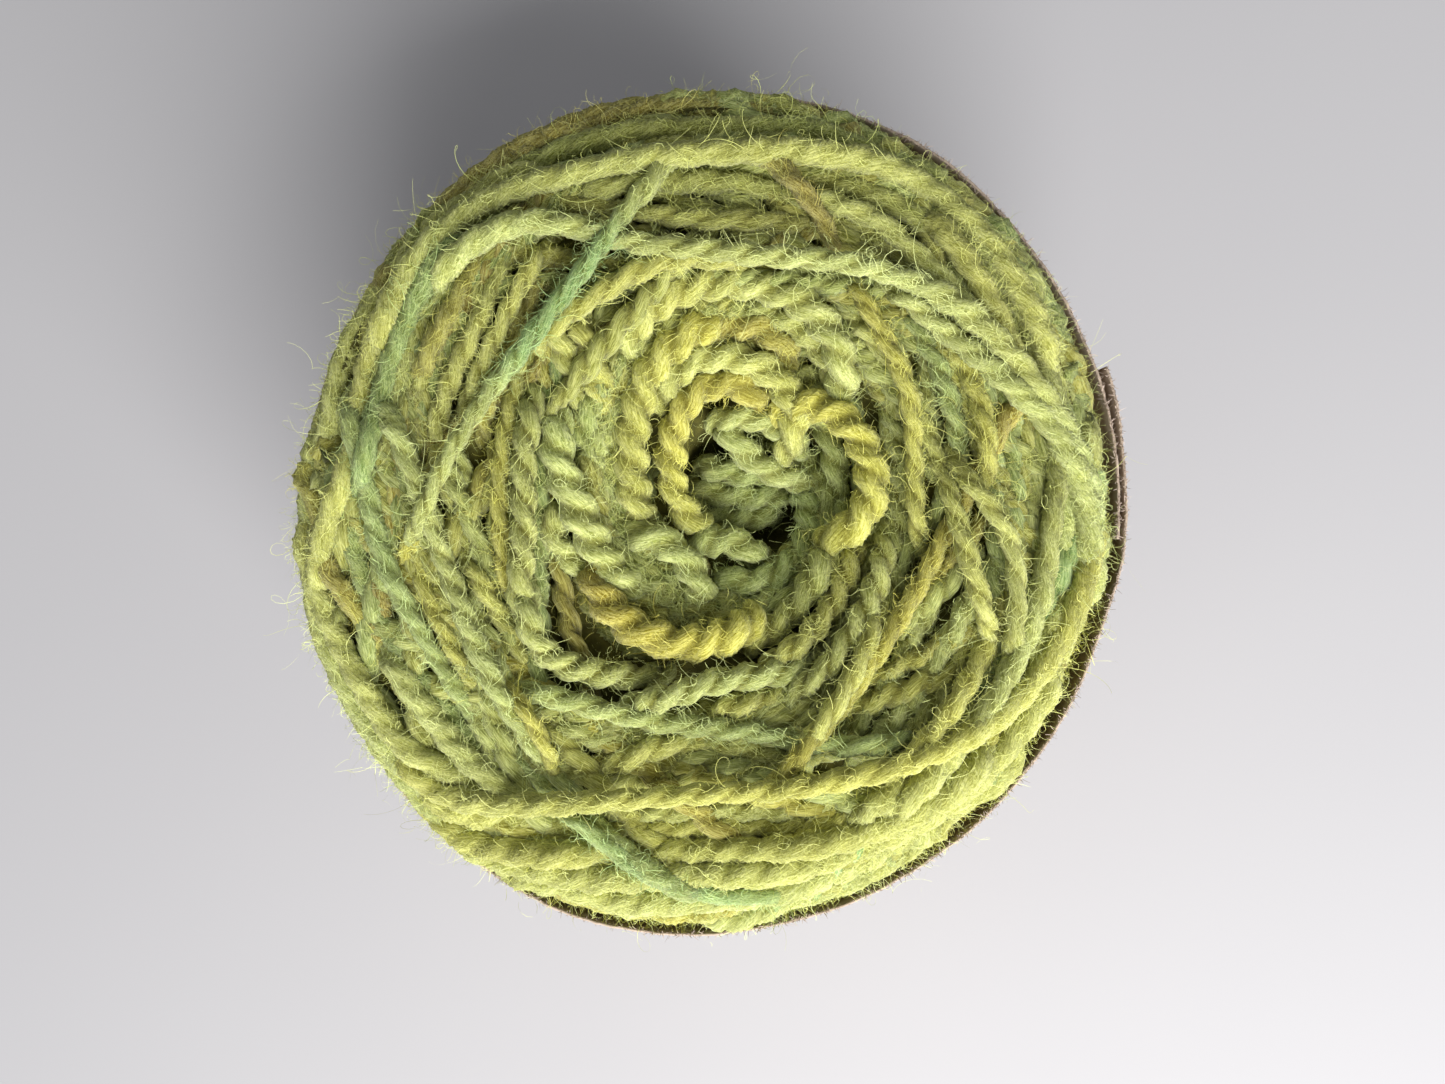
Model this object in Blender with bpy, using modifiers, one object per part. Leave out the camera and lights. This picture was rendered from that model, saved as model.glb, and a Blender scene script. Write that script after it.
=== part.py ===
"""Yarn cake: a centre-pull cake of three-ply wool in a bare paper band.

The cake is one solid of its wound form. Its turned profile carries the main strands as raised
ridges: the passes that cross over the top, the relaxed loops about the sunken centre, and the
slanting passes that show on the side above and below the band. The band is a paper strip wound
once round the cake, with its outer end lapped over the inner one.

The cake stands on its flat base, with the origin in the middle of that base. +Z is up, and an
angle is measured from +X towards +Y. Lengths below are in millimetres and angles in degrees.
"""

import math

import bmesh
import bpy
import numpy as np

MM = 0.001

# Driving dimensions of the wound cake
RIM_RADIUS = 41.6
STRAND_RADIUS = 1.45
STRAND_SINK = 0.95
WELL_OFFSET_X = 4.6
WELL_OFFSET_Y = 1.9
WELL_OFFSET_FADES = (11.0, 27.0)
TOP_STARTS = (20.0, 36.0)
OUTLINE_STARTS = 20.0
CAKE_TRIANGLES = 11200

# Driving dimensions of the paper band
PAPER = 0.4
BAND_BOTTOM = 9.0
BAND_TOP = 47.0
BAND_OUTER_END = 20.0
BAND_OVERLAP = 24.0
BAND_LAP_GAP = 0.32
BAND_LAP_EASE = 16.0
BAND_CLEARANCE = 0.35
BAND_FLARE = 0.35
BAND_FLARE_TURN = 14.0
BAND_STEPS = 110

# How the yarn's side passes from the band's inner face to the rim, measured off the band's edges
BAND_EDGE_CLEAR = 1.2
BAND_EDGE_RISE = 2.6

# Steps of the fine surface that the cake's ridges are raised on
CAKE_STEPS_ROUND = 264
CAKE_STEP_ALONG = 0.85
STRAND_STEP = 0.75
PASS_SPARE = 1.25
POINT_BLOCK = 400
RAISED_UPWARD = (30.0, 38.0)
FURTHEST_RISE = 13.0

# The cake's section from the floor of the well to the middle of the base.
# Columns: distance from the axis, height.
SECTION = (
    (0.0, 38.6),
    (4.0, 38.9),
    (7.0, 43.0),
    (9.8, 46.8),
    (15.0, 49.2),
    (20.0, 51.8),
    (27.0, 53.6),
    (35.0, 52.6),
    (39.8, 50.2),
    (41.2, 47.8),
    (39.4, 44.6),
    (39.4, 28.0),
    (39.4, 12.0),
    (38.8, 6.0),
    (36.2, 1.6),
    (33.0, 0.0),
    (0.0, 0.0),
)

# The outline, which isn't quite round.
# Columns: angle, the yarn's widest line, the band's outer face.
OUTLINE = (
    (0, 40.5, 41.4),
    (22, 40.7, 41.8),
    (40, 41.9, 42.2),
    (62, 42.3, 43.1),
    (85, 42.7, 42.6),
    (110, 42.6, 41.9),
    (135, 42.2, 41.4),
    (160, 41.8, 41.0),
    (185, 41.6, 40.9),
    (205, 41.8, 41.6),
    (222, 42.0, 42.2),
    (242, 42.6, 43.4),
    (256, 42.5, 43.6),
    (272, 41.7, 43.0),
    (292, 41.3, 42.4),
    (312, 40.8, 41.7),
    (328, 40.2, 41.5),
    (345, 40.3, 41.5),
)

# The angles over which the outline is evened out, so that its rows leave no corners
OUTLINE_BLUR = (-9.0, -6.0, -3.0, 0.0, 3.0, 6.0, 9.0)

# The strands that lie on top and lead the eye, each a bowed chord.
# Columns: name, closest distance to the axis, angle there, end angles, straightness towards
# each end, lift. A straightness of 1 is a straight chord and 0 is an arc about the axis.
MAIN_PASSES = (
    ("far_arc", 33.8, 98, 42, 146, 0.45, 0.60, 1.1),
    ("crown_arc", 24.6, 70, 4, 112, 0.67, 0.67, 1.3),
    ("mint_pass", 23.2, 145, 96, 190, 0.93, 0.84, 1.2),
    ("right_pass", 21.2, 27, -22, 60, 0.90, 1.05, 1.2),
    ("golden_pass", 22.0, -28, -80, 15, 0.73, 1.00, 1.0),
    ("near_chord", 28.0, 273, 226, 324, 0.91, 0.78, 1.4),
    ("near_pass", 21.0, 249, 219, 303, 1.35, 0.73, 0.9),
    ("left_pass", 27.0, 196, 158, 232, 0.90, 0.90, 0.9),
    ("left_rim", 34.5, 160, 128, 196, 0.70, 0.70, 0.8),
    ("right_rim", 33.0, 12, -30, 50, 0.70, 0.75, 0.8),
    ("lower_rim", 34.0, 305, 268, 345, 0.70, 0.70, 0.7),
)

# The relaxed loops about the sunken centre, each an arc of an ellipse.
# Columns: name, centre x and y, half width, half depth, end angles, height at each end.
LOOPS = (
    ("left_loop", -5.5, 10.0, 10.3, 16.6, 258, 160, 48.6, 51.4),
    ("upper_stub", -22.0, 11.0, 11.0, 11.0, 38, -2, 52.0, 50.0),
    ("top_loop", 2.0, 12.0, 11.0, 9.8, 165, -6, 51.0, 51.4),
    ("second_loop", 1.0, 5.5, 8.8, 12.5, 220, 86, 47.6, 51.0),
    ("arch", 1.0, 9.0, 6.5, 6.3, 155, -8, 49.8, 47.6),
    ("inner_loop", 1.5, 5.0, 5.4, 7.5, 246, 48, 46.6, 47.8),
    ("hole_strand", 12.0, 15.6, 12.6, 12.6, 214, 262, 46.2, 43.6),
    ("hole_cross", 3.0, 2.0, 7.7, 7.7, 108, 36, 46.8, 45.2),
    ("floor_far", 4.0, 16.0, 12.0, 12.0, 244, 286, 41.6, 41.2),
    ("floor_middle", 4.0, 13.4, 12.0, 12.0, 244, 286, 40.4, 40.2),
    ("hole_rim", 3.0, -1.0, 7.6, 6.4, 24, -112, 43.6, 47.4),
    ("small_arc", 1.2, -8.8, 5.4, 5.4, 130, 48, 46.0, 45.4),
    ("side_twist", -8.0, -10.0, 7.3, 7.3, 86, 0, 48.4, 48.6),
    ("front_loop", -2.5, -5.5, 9.7, 7.9, 174, 318, 50.4, 49.8),
    ("front_turn", 0.0, -1.5, 12.8, 12.6, 302, 350, 49.2, 49.2),
    ("right_loop", 8.7, 2.8, 7.0, 7.4, 96, -64, 49.2, 49.4),
    ("front_line", -6.0, 10.0, 25.0, 25.6, 244, 282, 51.4, 52.2),
    ("left_stub", -10.0, -1.5, 5.6, 4.4, 172, 238, 50.2, 49.4),
    ("right_inner", 6.0, 4.0, 15.0, 20.0, 62, -28, 53.0, 52.6),
    ("left_inner", 0.0, 0.0, 18.9, 18.6, 166, 224, 51.8, 51.8),
)

# The waves of the band's top edge, which was cut by hand.
# Columns: size, waves round the cake, start in radians.
BAND_EDGE_WAVES = (
    (0.28, 2.0, 0.6),
    (0.16, 7.0, 0.0),
    (0.10, 17.0, 0.0),
)

# The passes that fill the top, worked out one after the other
FILL_PASSES = 38
FILL_NEAREST = 20.5
FILL_FARTHEST = 39.5
FILL_TURN = 137.5
FILL_HALF_SPAN = (58.0, 36.0)
FILL_STRAIGHTNESS = 0.86
FILL_SWAY = 0.3
FILL_SWAY_TURN = 2.4
FILL_RISE = 0.4
FILL_RELIEF = 0.85

# The slanting passes on the side. Their reaches above the band and about the foot are counted
# along the section, the foot's back from the middle of the base.
SIDE_PASSES = 30
SIDE_LEAN = 16.0
SHOULDER_REACH = (44.0, 56.0)
FOOT_REACH = (50.0, 36.0)
FOOT_RELIEF_STARTS = (0.4, 4.0)


def clear_scene():
    """Empties the file's scene of its objects."""
    for item in list(bpy.data.objects):
        bpy.data.objects.remove(item, do_unlink=True)


def new_collection(name):
    """A collection linked to the scene."""
    collection = bpy.data.collections.new(name)
    bpy.context.scene.collection.children.link(collection)
    return collection


def new_material(name, colour, roughness, metallic=0.0):
    """A plain material from a colour, a roughness and a metallic value."""
    material = bpy.data.materials.new(name)
    material.use_nodes = True
    shader = material.node_tree.nodes["Principled BSDF"]
    shader.inputs["Base Color"].default_value = (*colour, 1.0)
    shader.inputs["Roughness"].default_value = roughness
    shader.inputs["Metallic"].default_value = metallic
    material.diffuse_color = (*colour, 1.0)
    return material


def smooth_step(value, low, high):
    """Rises from 0 at low to 1 at high, level at both ends."""
    share = np.clip((value - low) / (high - low), 0.0, 1.0)
    return share * share * (3.0 - 2.0 * share)


def smooth_line(rows, step):
    """Points about a step apart on a smooth line through a table's rows."""
    rows = np.array(rows, dtype=float)
    before = np.vstack([rows[:1], rows[:-1]])
    after = np.vstack([rows[1:], rows[-1:]])
    slopes = (after - before) / 2.0
    pieces = []
    for index in range(len(rows) - 1):
        count = max(2, round(float(np.linalg.norm(rows[index + 1] - rows[index])) / step))
        t = np.linspace(0.0, 1.0, count, endpoint=False)[:, None]
        pieces.append((2 * t**3 - 3 * t**2 + 1) * rows[index]
                      + (t**3 - 2 * t**2 + t) * slopes[index]
                      + (3 * t**2 - 2 * t**3) * rows[index + 1]
                      + (t**3 - t**2) * slopes[index + 1])
    pieces.append(rows[-1:])
    return np.vstack(pieces)


def outline(angle, column):
    """A column of the outline's table at any angle in radians, closed and smooth."""
    rows = np.array(OUTLINE, dtype=float)
    turn = np.degrees(angle) % 360.0
    places = np.concatenate([rows[:, 0] - 360.0, rows[:, 0], rows[:, 0] + 360.0])
    values = np.tile(rows[:, column], 3)
    return sum(np.interp(turn + shift, places, values) for shift in OUTLINE_BLUR) / len(OUTLINE_BLUR)


def rim(angle):
    """The yarn's widest radius at an angle."""
    return outline(angle, 1)


def band_face(angle):
    """The radius of the band's outer face at an angle, its lap left out."""
    return outline(angle, 2)


def side_limit(angle):
    """The furthest the yarn may reach behind the band."""
    return band_face(angle) - PAPER - BAND_CLEARANCE


def place(x, y, z):
    """Moves points of the turned form to the cake's own form.

    The centre slides to the well's place, and the outer part follows the outline.
    """
    radius = np.hypot(x, y)
    angle = np.arctan2(y, x)
    top = smooth_step(z, *TOP_STARTS)
    slide = (1.0 - smooth_step(radius, *WELL_OFFSET_FADES)) * top
    grow = 1.0 + (rim(angle) / RIM_RADIUS - 1.0) * smooth_step(radius, OUTLINE_STARTS, RIM_RADIUS)
    return np.stack([x * grow + WELL_OFFSET_X * slide, y * grow + WELL_OFFSET_Y * slide, z], axis=-1)


class WoundForm:
    """The cake's section as a smooth line, found by how far a strand reaches along it."""

    def __init__(self):
        self.line = smooth_line(SECTION, CAKE_STEP_ALONG)
        self.line[:, 1] = np.maximum(self.line[:, 1], 0.0)
        steps = np.linalg.norm(np.diff(self.line, axis=0), axis=1)
        self.run = np.concatenate([[0.0], np.cumsum(steps)])
        widest = int(np.argmax(self.line[:, 0]))
        start = float(np.interp(OUTLINE_STARTS, self.line[:widest, 0], self.run[:widest]))
        self.reach = self.run - start + OUTLINE_STARTS

    def on_cake(self, angle, reach, lift):
        """Points at angles and reaches, lifted out of the surface."""
        radius = np.interp(reach, self.reach, self.line[:, 0])
        height = np.interp(reach, self.reach, self.line[:, 1])
        ahead_radius = np.interp(reach + CAKE_STEP_ALONG, self.reach, self.line[:, 0]) - radius
        ahead_height = np.interp(reach + CAKE_STEP_ALONG, self.reach, self.line[:, 1]) - height
        size = np.hypot(ahead_radius, ahead_height)
        radius = radius - lift * ahead_height / size
        height = height + lift * ahead_radius / size
        return place(radius * np.cos(angle), radius * np.sin(angle), height)


def bowed_pass(form, closest, middle, first, last, bow_first, bow_last, lift_first, lift_last):
    """The centre line of a pass: its reach is closest / cos(straightness x turn from the middle)."""
    count = round(math.radians(last - first) * closest * PASS_SPARE / STRAND_STEP)
    turn = np.radians(np.linspace(first, last, count) - middle)
    bow = np.where(turn < 0.0, bow_first, bow_last)
    reach = closest / np.cos(bow * turn)
    lift = np.linspace(lift_first, lift_last, count)
    return form.on_cake(turn + math.radians(middle), reach, lift - STRAND_SINK)


def main_passes(form):
    """The strands of the table, lying on top."""
    return [bowed_pass(form, closest, middle, first, last, bow_first, bow_last, lift, lift)
            for name, closest, middle, first, last, bow_first, bow_last, lift in MAIN_PASSES]


def fill_passes(form):
    """The passes under the main ones, each turned from the last and rising along its length."""
    lines = []
    for index in range(FILL_PASSES):
        share = index / (FILL_PASSES - 1)
        closest = FILL_NEAREST + (FILL_FARTHEST - FILL_NEAREST) * share
        half = FILL_HALF_SPAN[0] + (FILL_HALF_SPAN[1] - FILL_HALF_SPAN[0]) * share
        middle = index * FILL_TURN
        sway = FILL_SWAY * math.sin(index * FILL_SWAY_TURN)
        lines.append(bowed_pass(form, closest, middle, middle - half, middle + half,
                                FILL_STRAIGHTNESS, FILL_STRAIGHTNESS, sway - FILL_RISE, sway + FILL_RISE))
    return lines


def side_passes(form):
    """Slanting strands round the side, which lean one way on odd turns and the other on even ones."""
    foot = tuple(form.reach[-1] - back for back in FOOT_REACH)
    lines = []
    for index in range(SIDE_PASSES):
        start = index * 360.0 / SIDE_PASSES
        lean = SIDE_LEAN if index % 2 else -SIDE_LEAN
        for low, high in (SHOULDER_REACH, foot):
            count = round((high - low) / STRAND_STEP)
            reach = np.linspace(low, high, count)
            angle = np.radians(np.linspace(start - lean, start + lean, count))
            lines.append(form.on_cake(angle, reach, np.full(count, -STRAND_SINK)))
    return lines


def relaxed_loops():
    """The loops about the centre, from the table of ellipse arcs."""
    lines = []
    for name, x, y, half_width, half_depth, first, last, height_first, height_last in LOOPS:
        size = math.radians(abs(last - first)) * (half_width + half_depth) / 2.0
        count = round(size / STRAND_STEP)
        angle = np.radians(np.linspace(first, last, count))
        across = x + half_width * np.cos(angle)
        along = y + half_depth * np.sin(angle)
        lines.append(np.stack([across, along, np.linspace(height_first, height_last, count)], axis=-1))
    return lines


def rise_over(points, ways, centres):
    """How far along its way each point has to go to leave the strands' round bodies.

    A strand is a row of balls about its centre line, and the furthest ball counts.
    """
    rise = np.full(len(points), -STRAND_SINK)
    for start in range(0, len(points), POINT_BLOCK):
        part = slice(start, start + POINT_BLOCK)
        away = centres[None, :, :] - points[part, None, :]
        along = np.einsum("ijk,ik->ij", away, ways[part])
        aside = np.einsum("ijk,ijk->ij", away, away) - along**2
        met = (aside < STRAND_RADIUS**2) & (along < FURTHEST_RISE) & (along > -2.0 * STRAND_RADIUS)
        exits = np.where(met, along + np.sqrt(np.maximum(STRAND_RADIUS**2 - aside, 0.0)), -STRAND_SINK)
        rise[part] = np.maximum(rise[part], exits.max(axis=1))
    return rise


def raising_ways(points, normals):
    """The direction each point is raised in: straight up on the top, and outwards near the rim."""
    radius = np.hypot(points[:, 0], points[:, 1])
    upward = (1.0 - smooth_step(radius, *RAISED_UPWARD)) * smooth_step(points[:, 2], *TOP_STARTS)
    ways = normals * (1.0 - upward)[:, None] + np.array([0.0, 0.0, 1.0]) * upward[:, None]
    return ways / np.linalg.norm(ways, axis=1)[:, None]


def turned_cake(form, collection):
    """The plain turned form: the section's line taken round the axis by a Screw modifier."""
    mesh = bpy.data.meshes.new("cake_section")
    count = len(form.line)
    mesh.from_pydata([(r * MM, 0.0, z * MM) for r, z in form.line],
                     [(index, index + 1) for index in range(count - 1)], [])
    section = bpy.data.objects.new("cake_section", mesh)
    collection.objects.link(section)
    screw = section.modifiers.new("turn", "SCREW")
    screw.steps = CAKE_STEPS_ROUND
    screw.render_steps = CAKE_STEPS_ROUND
    screw.use_merge_vertices = True
    screw.merge_threshold = 0.000001
    turned = evaluated_mesh(section, "cake_turned")
    bpy.data.objects.remove(section, do_unlink=True)
    return turned


def evaluated_mesh(item, name):
    """A new mesh of an object as its modifiers leave it."""
    graph = bpy.context.evaluated_depsgraph_get()
    mesh = bpy.data.meshes.new_from_object(item.evaluated_get(graph))
    mesh.name = name
    return mesh


def mesh_points(mesh):
    """A mesh's points in millimetres, one row each."""
    points = np.empty(len(mesh.vertices) * 3)
    mesh.vertices.foreach_get("co", points)
    return points.reshape(-1, 3) / MM


def move_points(mesh, points):
    """Puts a mesh's points at the given places in millimetres."""
    mesh.vertices.foreach_set("co", (points * MM).ravel())
    mesh.update()


def tidy_faces(mesh):
    """Merges doubled points and turns every face outwards."""
    work = bmesh.new()
    work.from_mesh(mesh)
    bmesh.ops.remove_doubles(work, verts=work.verts, dist=0.000001)
    bmesh.ops.recalc_face_normals(work, faces=work.faces)
    work.to_mesh(mesh)
    work.free()


def point_normals(mesh):
    """The outward direction at each of a mesh's points."""
    normals = np.empty(len(mesh.vertices) * 3)
    mesh.vertex_normals.foreach_get("vector", normals)
    return normals.reshape(-1, 3)


def keep_in_bounds(points):
    """Holds the cake's side inside the band and its base on the level of the surface."""
    radius = np.hypot(points[:, 0], points[:, 1])
    angle = np.arctan2(points[:, 1], points[:, 0])
    height = points[:, 2]
    above = smooth_step(height, BAND_TOP + BAND_EDGE_CLEAR, BAND_TOP + BAND_EDGE_RISE)
    below = 1.0 - smooth_step(height, BAND_BOTTOM - BAND_EDGE_RISE, BAND_BOTTOM - BAND_EDGE_CLEAR)
    outmost = side_limit(angle) + (rim(angle) - side_limit(angle)) * np.maximum(above, below)
    shrink = np.minimum(1.0, outmost / np.maximum(radius, 1.0))
    kept = points * np.stack([shrink, shrink, np.ones_like(shrink)], axis=-1)
    kept[:, 2] = np.maximum(kept[:, 2], 0.0)
    return kept


def yarn_cake(collection, material):
    """The wound cake with its strands raised, as one closed solid with a flat base."""
    form = WoundForm()
    mesh = turned_cake(form, collection)
    tidy_faces(mesh)
    x, y, z = mesh_points(mesh).T
    move_points(mesh, place(x, y, z))
    points = mesh_points(mesh)
    ways = raising_ways(points, point_normals(mesh))
    under = rise_over(points, ways, np.vstack(fill_passes(form) + side_passes(form)))
    over = rise_over(points, ways, np.vstack(main_passes(form) + relaxed_loops()))
    rise = np.maximum(under * FILL_RELIEF, over)
    rise = rise * smooth_step(points[:, 2], *FOOT_RELIEF_STARTS)
    move_points(mesh, keep_in_bounds(points + ways * rise[:, None]))

    cake = bpy.data.objects.new("yarn_cake", mesh)
    collection.objects.link(cake)
    thin = cake.modifiers.new("thin", "DECIMATE")
    triangles = sum(len(face.vertices) - 2 for face in mesh.polygons)
    thin.ratio = CAKE_TRIANGLES / triangles
    thin.use_collapse_triangulate = True
    cake.data = evaluated_mesh(cake, "yarn_cake")
    cake.modifiers.clear()
    move_points(cake.data, keep_in_bounds(mesh_points(cake.data)))
    tidy_faces(cake.data)
    cake.data.shade_smooth()
    cake.data.materials.clear()
    cake.data.materials.append(material)
    return cake


def band_radius(turn):
    """The band's outer face after a clockwise turn in radians from its outer end.

    The outer layer starts clear of the inner one and eases down on to the cake past the lap.
    """
    angle = math.radians(BAND_OUTER_END) - turn
    lap = 1.0 - smooth_step(np.degrees(turn), BAND_OVERLAP, BAND_OVERLAP + BAND_LAP_EASE)
    flare = BAND_FLARE * (1.0 - smooth_step(np.degrees(turn), 0.0, BAND_FLARE_TURN))
    return band_face(angle) + lap * (PAPER + BAND_LAP_GAP) + flare


def band_edge(turn):
    """How far the band's top edge strays from level along a clockwise turn."""
    return sum(size * np.sin(waves * turn + start) for size, waves, start in BAND_EDGE_WAVES)


def paper_band(collection, material):
    """The paper strip: an open wound sheet given its thickness inwards by Solidify."""
    turn = np.radians(np.linspace(0.0, 360.0 + BAND_OVERLAP, BAND_STEPS + 1))
    radius = band_radius(turn)
    angle = math.radians(BAND_OUTER_END) - turn
    x = radius * np.cos(angle)
    y = radius * np.sin(angle)
    low = np.stack([x, y, np.full_like(x, BAND_BOTTOM)], axis=-1)
    high = np.stack([x, y, BAND_TOP + band_edge(turn)], axis=-1)
    points = np.vstack([low, high])
    width = len(turn)
    faces = [(column, column + width, column + width + 1, column + 1) for column in range(width - 1)]
    mesh = bpy.data.meshes.new("paper_band")
    mesh.from_pydata((points * MM).tolist(), [], faces)
    band = bpy.data.objects.new("paper_band", mesh)
    collection.objects.link(band)
    wall = band.modifiers.new("paper", "SOLIDIFY")
    wall.thickness = PAPER * MM
    wall.offset = -1.0
    mesh.shade_smooth()
    mesh.materials.append(material)
    return band


def main():
    clear_scene()
    parts = new_collection("yarn_cake_in_paper_band")
    wool = new_material("yellow_green_wool", (0.42, 0.45, 0.12), 0.92)
    paper = new_material("brown_paper", (0.20, 0.13, 0.08), 0.85)
    yarn_cake(parts, wool)
    paper_band(parts, paper)


main()
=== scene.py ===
"""Dresses the yarn cake: its plied strands, its fuzz and its paper band.

The cake's form is a section turned round the axis, and every strand is a two-ply body carried
along a path. Strands on the top are given by the places they pass, listed from the lowest to the
uppermost, and settled into a pile. Loops round the sunken centre have heights of their own.
Lengths are in millimetres and angles in degrees, and a mesh's points are put in metres.
"""

import math
from collections import namedtuple
from functools import lru_cache

import bpy
import numpy as np
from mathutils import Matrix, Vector


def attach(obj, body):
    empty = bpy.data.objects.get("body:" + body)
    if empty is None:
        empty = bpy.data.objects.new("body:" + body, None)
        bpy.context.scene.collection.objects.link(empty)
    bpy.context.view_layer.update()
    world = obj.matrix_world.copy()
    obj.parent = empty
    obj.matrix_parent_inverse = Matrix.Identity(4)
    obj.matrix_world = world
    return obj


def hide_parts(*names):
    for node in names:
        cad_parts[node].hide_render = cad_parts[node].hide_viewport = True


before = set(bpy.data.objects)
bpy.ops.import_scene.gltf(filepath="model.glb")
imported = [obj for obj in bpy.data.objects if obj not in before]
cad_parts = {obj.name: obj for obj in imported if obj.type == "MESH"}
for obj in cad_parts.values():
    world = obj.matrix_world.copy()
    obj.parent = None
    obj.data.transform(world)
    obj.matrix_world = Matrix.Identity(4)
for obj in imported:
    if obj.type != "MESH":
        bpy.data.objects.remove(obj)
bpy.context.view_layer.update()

bl_info = {
    "name": "Yarn cake",
    "version": (1, 0, 0),
    "blender": (4, 5, 0),
    "location": "3D View > Sidebar > Yarn cake",
    "description": "Builds the strands, fuzz and paper band of a yarn cake",
    "category": "Add Mesh",
}

MM = 0.001
BODY = "root"

# The camera's place and lens, and the level on which the strands' places were read
CAMERA_HEIGHT = 157.0
CAMERA_X = 1.28
CAMERA_Y = -3.17
READING_HEIGHT = 52.0
FOCAL_PIXELS = 1086.0
PHOTO_WIDTH = 1445.0
SENSOR_WIDTH = 36.0

# The floor and the light
FLOOR_HALF = 900.0
KEY_PLACE = (150.0, -372.0, 325.0)
KEY_SIZE = 400.0
KEY_AIM = (0.0, 0.0, 45.0)
SKY_COLOUR = (0.93, 0.96, 1.0, 1.0)
CLIP_START = 5.0

# The cake's section from the floor of the well to the middle of the base.
# Columns: distance from the axis, height.
SECTION = (
    (0.0, 38.6),
    (4.0, 38.9),
    (7.0, 43.0),
    (9.8, 46.8),
    (15.0, 49.2),
    (20.0, 51.8),
    (27.0, 53.6),
    (35.0, 52.6),
    (39.8, 50.2),
    (41.2, 47.8),
    (39.4, 44.6),
    (39.4, 28.0),
    (39.4, 12.0),
    (38.8, 6.0),
    (36.2, 1.6),
    (33.0, 0.0),
    (0.0, 0.0),
)
SECTION_STEP = 0.5
SPAN_POINTS = 24
SEEN_BACK = 3
RIM_RADIUS = 41.6
RIM_EASE = 1.5

# How far the well is moved aside, and over which distances from it that fades
WELL_OFFSET = np.array([4.6, 1.9])
WELL_OFFSET_FADES = (11.0, 27.0)
WELL_CREST = 53.0
WELL_MARGIN = 8.0
WELL_ENDS = (26.0, 29.0)

# Inside these distances and above these heights a strand's up is the sky's
SKYWARD_ENDS = (24.0, 33.0)
SKYWARD_RISE = (20.0, 36.0)
OUTLINE_STARTS = 20.0

# The outline, which isn't quite round.
# Columns: angle, the yarn's widest line, the band's outer face.
OUTLINE = (
    (0, 39.9, 41.4),
    (22, 40.4, 41.8),
    (40, 41.9, 42.2),
    (62, 42.3, 43.1),
    (85, 42.7, 42.6),
    (110, 42.6, 41.9),
    (135, 42.2, 41.4),
    (160, 41.8, 41.0),
    (185, 41.6, 40.9),
    (205, 41.3, 41.6),
    (222, 41.5, 42.2),
    (242, 42.1, 43.4),
    (256, 42.2, 43.6),
    (272, 41.7, 43.0),
    (292, 41.3, 42.4),
    (312, 40.5, 41.7),
    (328, 39.9, 41.5),
    (345, 39.8, 41.5),
)
OUTLINE_BLUR = (-9.0, -6.0, -3.0, 0.0, 3.0, 6.0, 9.0)

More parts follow.
